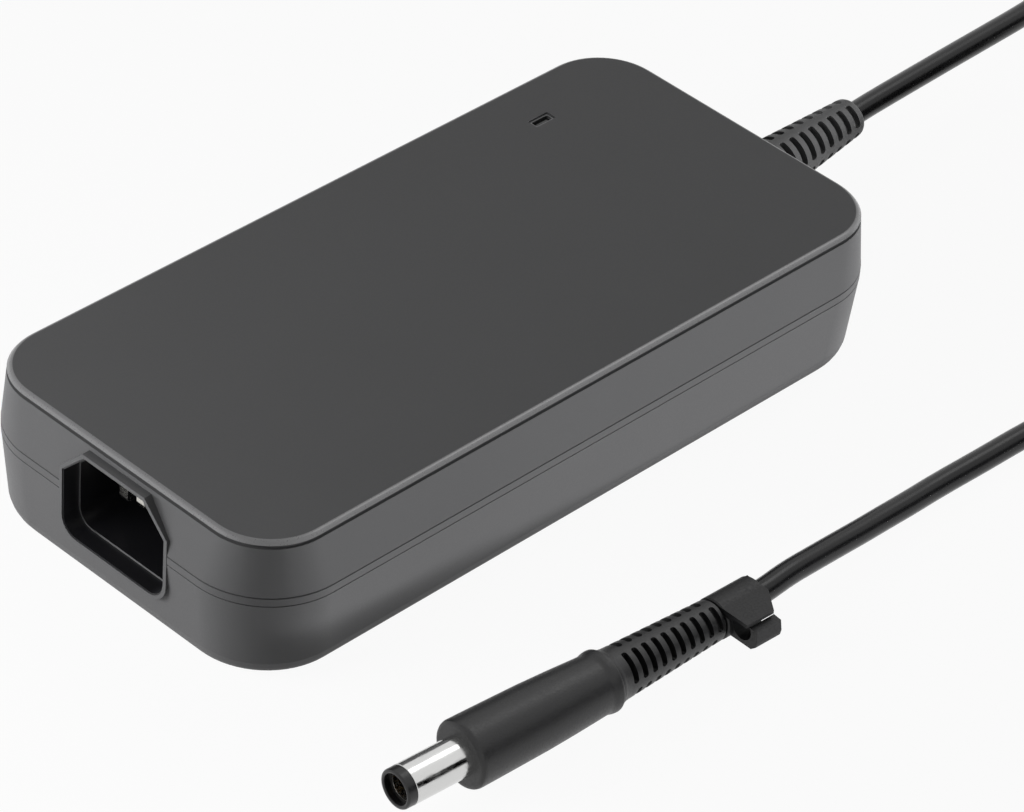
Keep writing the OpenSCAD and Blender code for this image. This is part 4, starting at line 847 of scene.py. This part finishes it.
HIDDEN_R = BARREL_R - 0.2  # the barrel's radius inside the body
SHELL_R = BARREL_R - 0.4  # the barrel's inside
body = turned("plug_moulding", [
    # the hollow for the barrel, and the front edge
    (CORE_END, 0), (CORE_END, HIDDEN_R + 0.02), (BARREL_LEN, HIDDEN_R + 0.02),
    (BARREL_LEN, BODY_R1 - 1), (BARREL_LEN + 0.06, BODY_R1 - 0.6),
    (BARREL_LEN + 0.25, BODY_R1 - 0.27), (BARREL_LEN + 0.5, BODY_R1 - 0.1),
    # the grip, which narrows to the back
    (BARREL_LEN + 0.9, BODY_R1), (BARREL_LEN + 3, BODY_R1 - 0.02),
    (BARREL_LEN + BODY_LEN * 0.3, BODY_R1 - 0.13), (BARREL_LEN + BODY_LEN * 0.5, BODY_R1 - 0.25),
    (BARREL_LEN + BODY_LEN * 0.7, BODY_R1 - 0.5),
    # the raised rib round its end
    (RIB_S - 2.8, BODY_R2), (RIB_S - 2.4, BODY_R2 + 0.01), (RIB_S - 2, BODY_R2 + 0.07),
    (RIB_S - 1.6, BODY_R2 + 0.18), (RIB_S - 1.2, RIB_R - 0.04), (RIB_S - 0.7, RIB_R),
    (RIB_S - 0.4, RIB_R - 0.04), (RIB_S - 0.15, RIB_R - 0.18), (RIB_S - 0.03, RIB_R - 0.35),
    (RIB_S, RIB_R - 0.5), (RIB_S, 0)], closed=False)
set_at(body, PLUG_TIP, PLUG_TURN, lay=True)
# The slotted tail, which flares a little where it leaves the rib
tail = turned("tail", [
    (0, 0), (0, TAIL_R1 + 0.6), (1.1, TAIL_R1 + 0.55), (1.5, TAIL_R1 + 0.38), (1.9, TAIL_R1 + 0.24),
    (2.4, TAIL_R1 + 0.13), (2.9, TAIL_R1 + 0.05), (3.4, TAIL_R1),
    (TAIL_LEN - 0.5, TAIL_R2), (TAIL_LEN - 0.15, TAIL_R2 - 0.12), (TAIL_LEN, TAIL_R2 - 0.4),
    (TAIL_LEN, 0)], closed=False)
combine(tail, slot_rows(int((TAIL_LEN - 3) / TAIL_PITCH), TAIL_PITCH, TAIL_SLOT, CORD_R + 0.4,
                        TAIL_R1 * 2, 3.5, 0.5))
soften(tail, 0.2, 3)
set_at(tail, NECK_AT, TAIL_TURN, lay=True, rise=TAIL_RISE)
combine(body, tail, "UNION")
plug_body = hand_over(body, plug_rubber, "black_plastic", "plug_body")

# What nests in the body: the metal shell, its black liner and tip ring, the contact and the pin
barrel = turned("plug_shell", [
    (TIP_RING, SHELL_R), (TIP_RING, BARREL_R - 0.1), (TIP_RING + 0.1, BARREL_R),
    (BARREL_LEN, BARREL_R), (BARREL_LEN, HIDDEN_R), (SHOULDER_S, HIDDEN_R),
    (SHOULDER_S, SHELL_R)])
set_at(barrel, PLUG_TIP, PLUG_TURN, lay=True)
barrel = hand_over(barrel, barrel_metal, "barrel_metal", "plug_barrel")

LINER_R, LINER_BORE_R = SHELL_R - FIT, CONTACT_R + FIT
ring = turned("plug_tip_ring", [
    (0.35, LINER_BORE_R), (0.1, LINER_BORE_R + 0.1), (0, LINER_BORE_R + 0.3), (0, SHELL_R),
    (0.1, BARREL_R - 0.15), (0.35, BARREL_R - 0.05), (TIP_RING, BARREL_R - 0.05),
    (TIP_RING, LINER_R), (SHOULDER_S, LINER_R), (SHOULDER_S, LINER_BORE_R)])
set_at(ring, PLUG_TIP, PLUG_TURN, lay=True)
tip_ring = hand_over(ring, tip_acetal, "black_plastic", "plug_insulator")

CONTACT_S, CENTRE_PIN_S = 1.6, 2.2  # where the contact tube and the pin in it start
contact = turned("plug_contact_tube", [
    (CONTACT_S, CONTACT_BORE_R + 0.05), (CONTACT_S, CONTACT_R - 0.05),
    (CONTACT_S + 0.1, CONTACT_R), (SHOULDER_S, CONTACT_R), (SHOULDER_S, CONTACT_BORE_R),
    (CONTACT_S + 0.1, CONTACT_BORE_R)])
set_at(contact, PLUG_TIP, PLUG_TURN, lay=True)
contact = hand_over(contact, pin_metal, "pin_metal", "plug_inner_contact")

pin = turned("plug_centre_pin", [
    (CENTRE_PIN_S, 0), (CENTRE_PIN_S, CENTRE_PIN_R * 0.4),
    (CENTRE_PIN_S + 0.1, CENTRE_PIN_R * 0.75), (CENTRE_PIN_S + 0.4, CENTRE_PIN_R),
    (CENTRE_PIN_S + 0.4 + SHOULDER_S, CENTRE_PIN_R), (CENTRE_PIN_S + 0.4 + SHOULDER_S, 0)],
    steps=32, closed=False)
set_at(pin, PLUG_TIP, PLUG_TURN, lay=True)
centre_pin = hand_over(pin, pin_gold, "brass", "plug_center_pin")

# ---------------------------------------------------------------- wrap clip

CHANNEL_Y, CHANNEL_Z = JAW_REACH - CHANNEL_R + 0.1, CLIP_TOP - UPPER_T - CHANNEL_R
LIP_Z = CLIP_TOP - 2 * UPPER_T
LOWER_Z = CHANNEL_Z - CHANNEL_R - LOWER_T


def jaw(name, section, low_x, high_x):
    """A jaw of the hook, with the channel cut out of it."""
    part = prism(name, [(-u, v) for u, v in section], low_x, high_x)
    channel = turned("channel", [(0, 0), (0, CHANNEL_R), (14, CHANNEL_R), (14, 0)], closed=False)
    return combine(part, set_at(channel, (-1, -CHANNEL_Y, CHANNEL_Z), lay=True))


hook = jaw("wrap_clip", [
    (-1.9, LIP_Z), (CHANNEL_Y, LIP_Z), (CHANNEL_Y, CLIP_TOP - UPPER_T),
    (JAW_REACH, CLIP_TOP - UPPER_T), (JAW_REACH, CLIP_TOP), (-1.9, CLIP_TOP)], 0, CLIP_LEN)
# The upper jaw is cut at a slant, from its reach to near the sleeve's end
slant = block("slant", (0, -30, -10), (20, 30, 10))
slant_turn = -atan2(CLIP_LEN - 0.6 - SLANT_X, JAW_REACH - CLIP_R)
combine(hook, set_at(slant, (SLANT_X, -JAW_REACH, 0), slant_turn))
lower = jaw("lower_jaw", [
    (0, LOWER_Z), (LOWER_REACH - 1.2, LOWER_Z), (LOWER_REACH - 0.2, LOWER_Z + 0.9),
    (LOWER_REACH, LOWER_Z + 2), (LOWER_REACH - 0.4, LIP_Z - 0.2), (JAW_REACH - 0.6, LIP_Z),
    (0, LIP_Z)], 1.2, 7.2)
combine(hook, lower, "UNION")
# The sleeve round the cord is welded on, and bored after the edges are rounded
sleeve = turned("sleeve", [
    (0, 0), (0, CLIP_R - 0.25), (0.25, CLIP_R), (CLIP_LEN - 0.25, CLIP_R),
    (CLIP_LEN, CLIP_R - 0.25), (CLIP_LEN, 0)], closed=False)
combine(hook, set_at(sleeve, (0, 0, 0), lay=True), "UNION")
soften(hook, 0.3, 3)
CLIP_BORE_R = CORD_R + CLIP_GAP
bore = turned("bore", [(0, 0), (0, CLIP_BORE_R), (20, CLIP_BORE_R), (20, 0)], closed=False)
combine(hook, set_at(bore, (-5, 0, 0), lay=True))
set_at(hook, TAIL_END + CLIP_FROM * TAIL_DIR, TAIL_TURN, rise=TAIL_RISE)
clip = hand_over(hook, clip_nylon, "black_plastic", "cord_clip", body="clip")

# ---------------------------------------------------------------- strap round the coil

# The strap's hollow, as (distance from the coil's middle, height). bow is how far the inner turn
# bends in over half the strap's width
bow = STRAP_WID ** 2 / 8 / (COIL_R_IN - CORD_R)
strap_low = (COIL_R_IN - CORD_R - bow - STRAP_GAP, STRAP_T + FIT)
strap_high = (COIL_R_OUT + CORD_R + STRAP_GAP, COIL_TOP_Z + CORD_R + STRAP_GAP)


def strap_block(name, grow, wid, r):
    """The strap's hollow, grown all round, as a block with rounded corners."""
    obj = block(name, (strap_low[0] - grow, -wid / 2, strap_low[1] - grow),
                (strap_high[0] + grow, wid / 2, strap_high[1] + grow))
    round_edges(obj, lambda at, way: abs(way.y) > PARALLEL, r, 6)
    return obj


strap = strap_block("coil_strap", STRAP_T, STRAP_WID, 2.6)
combine(strap, strap_block("space", 0, STRAP_WID + 2, 1.7))
soften(strap, 0.15)
set_at(strap, COIL_AT, STRAP_AT)
strap = hand_over(strap, clip_nylon, "black_plastic", "cord_strap")
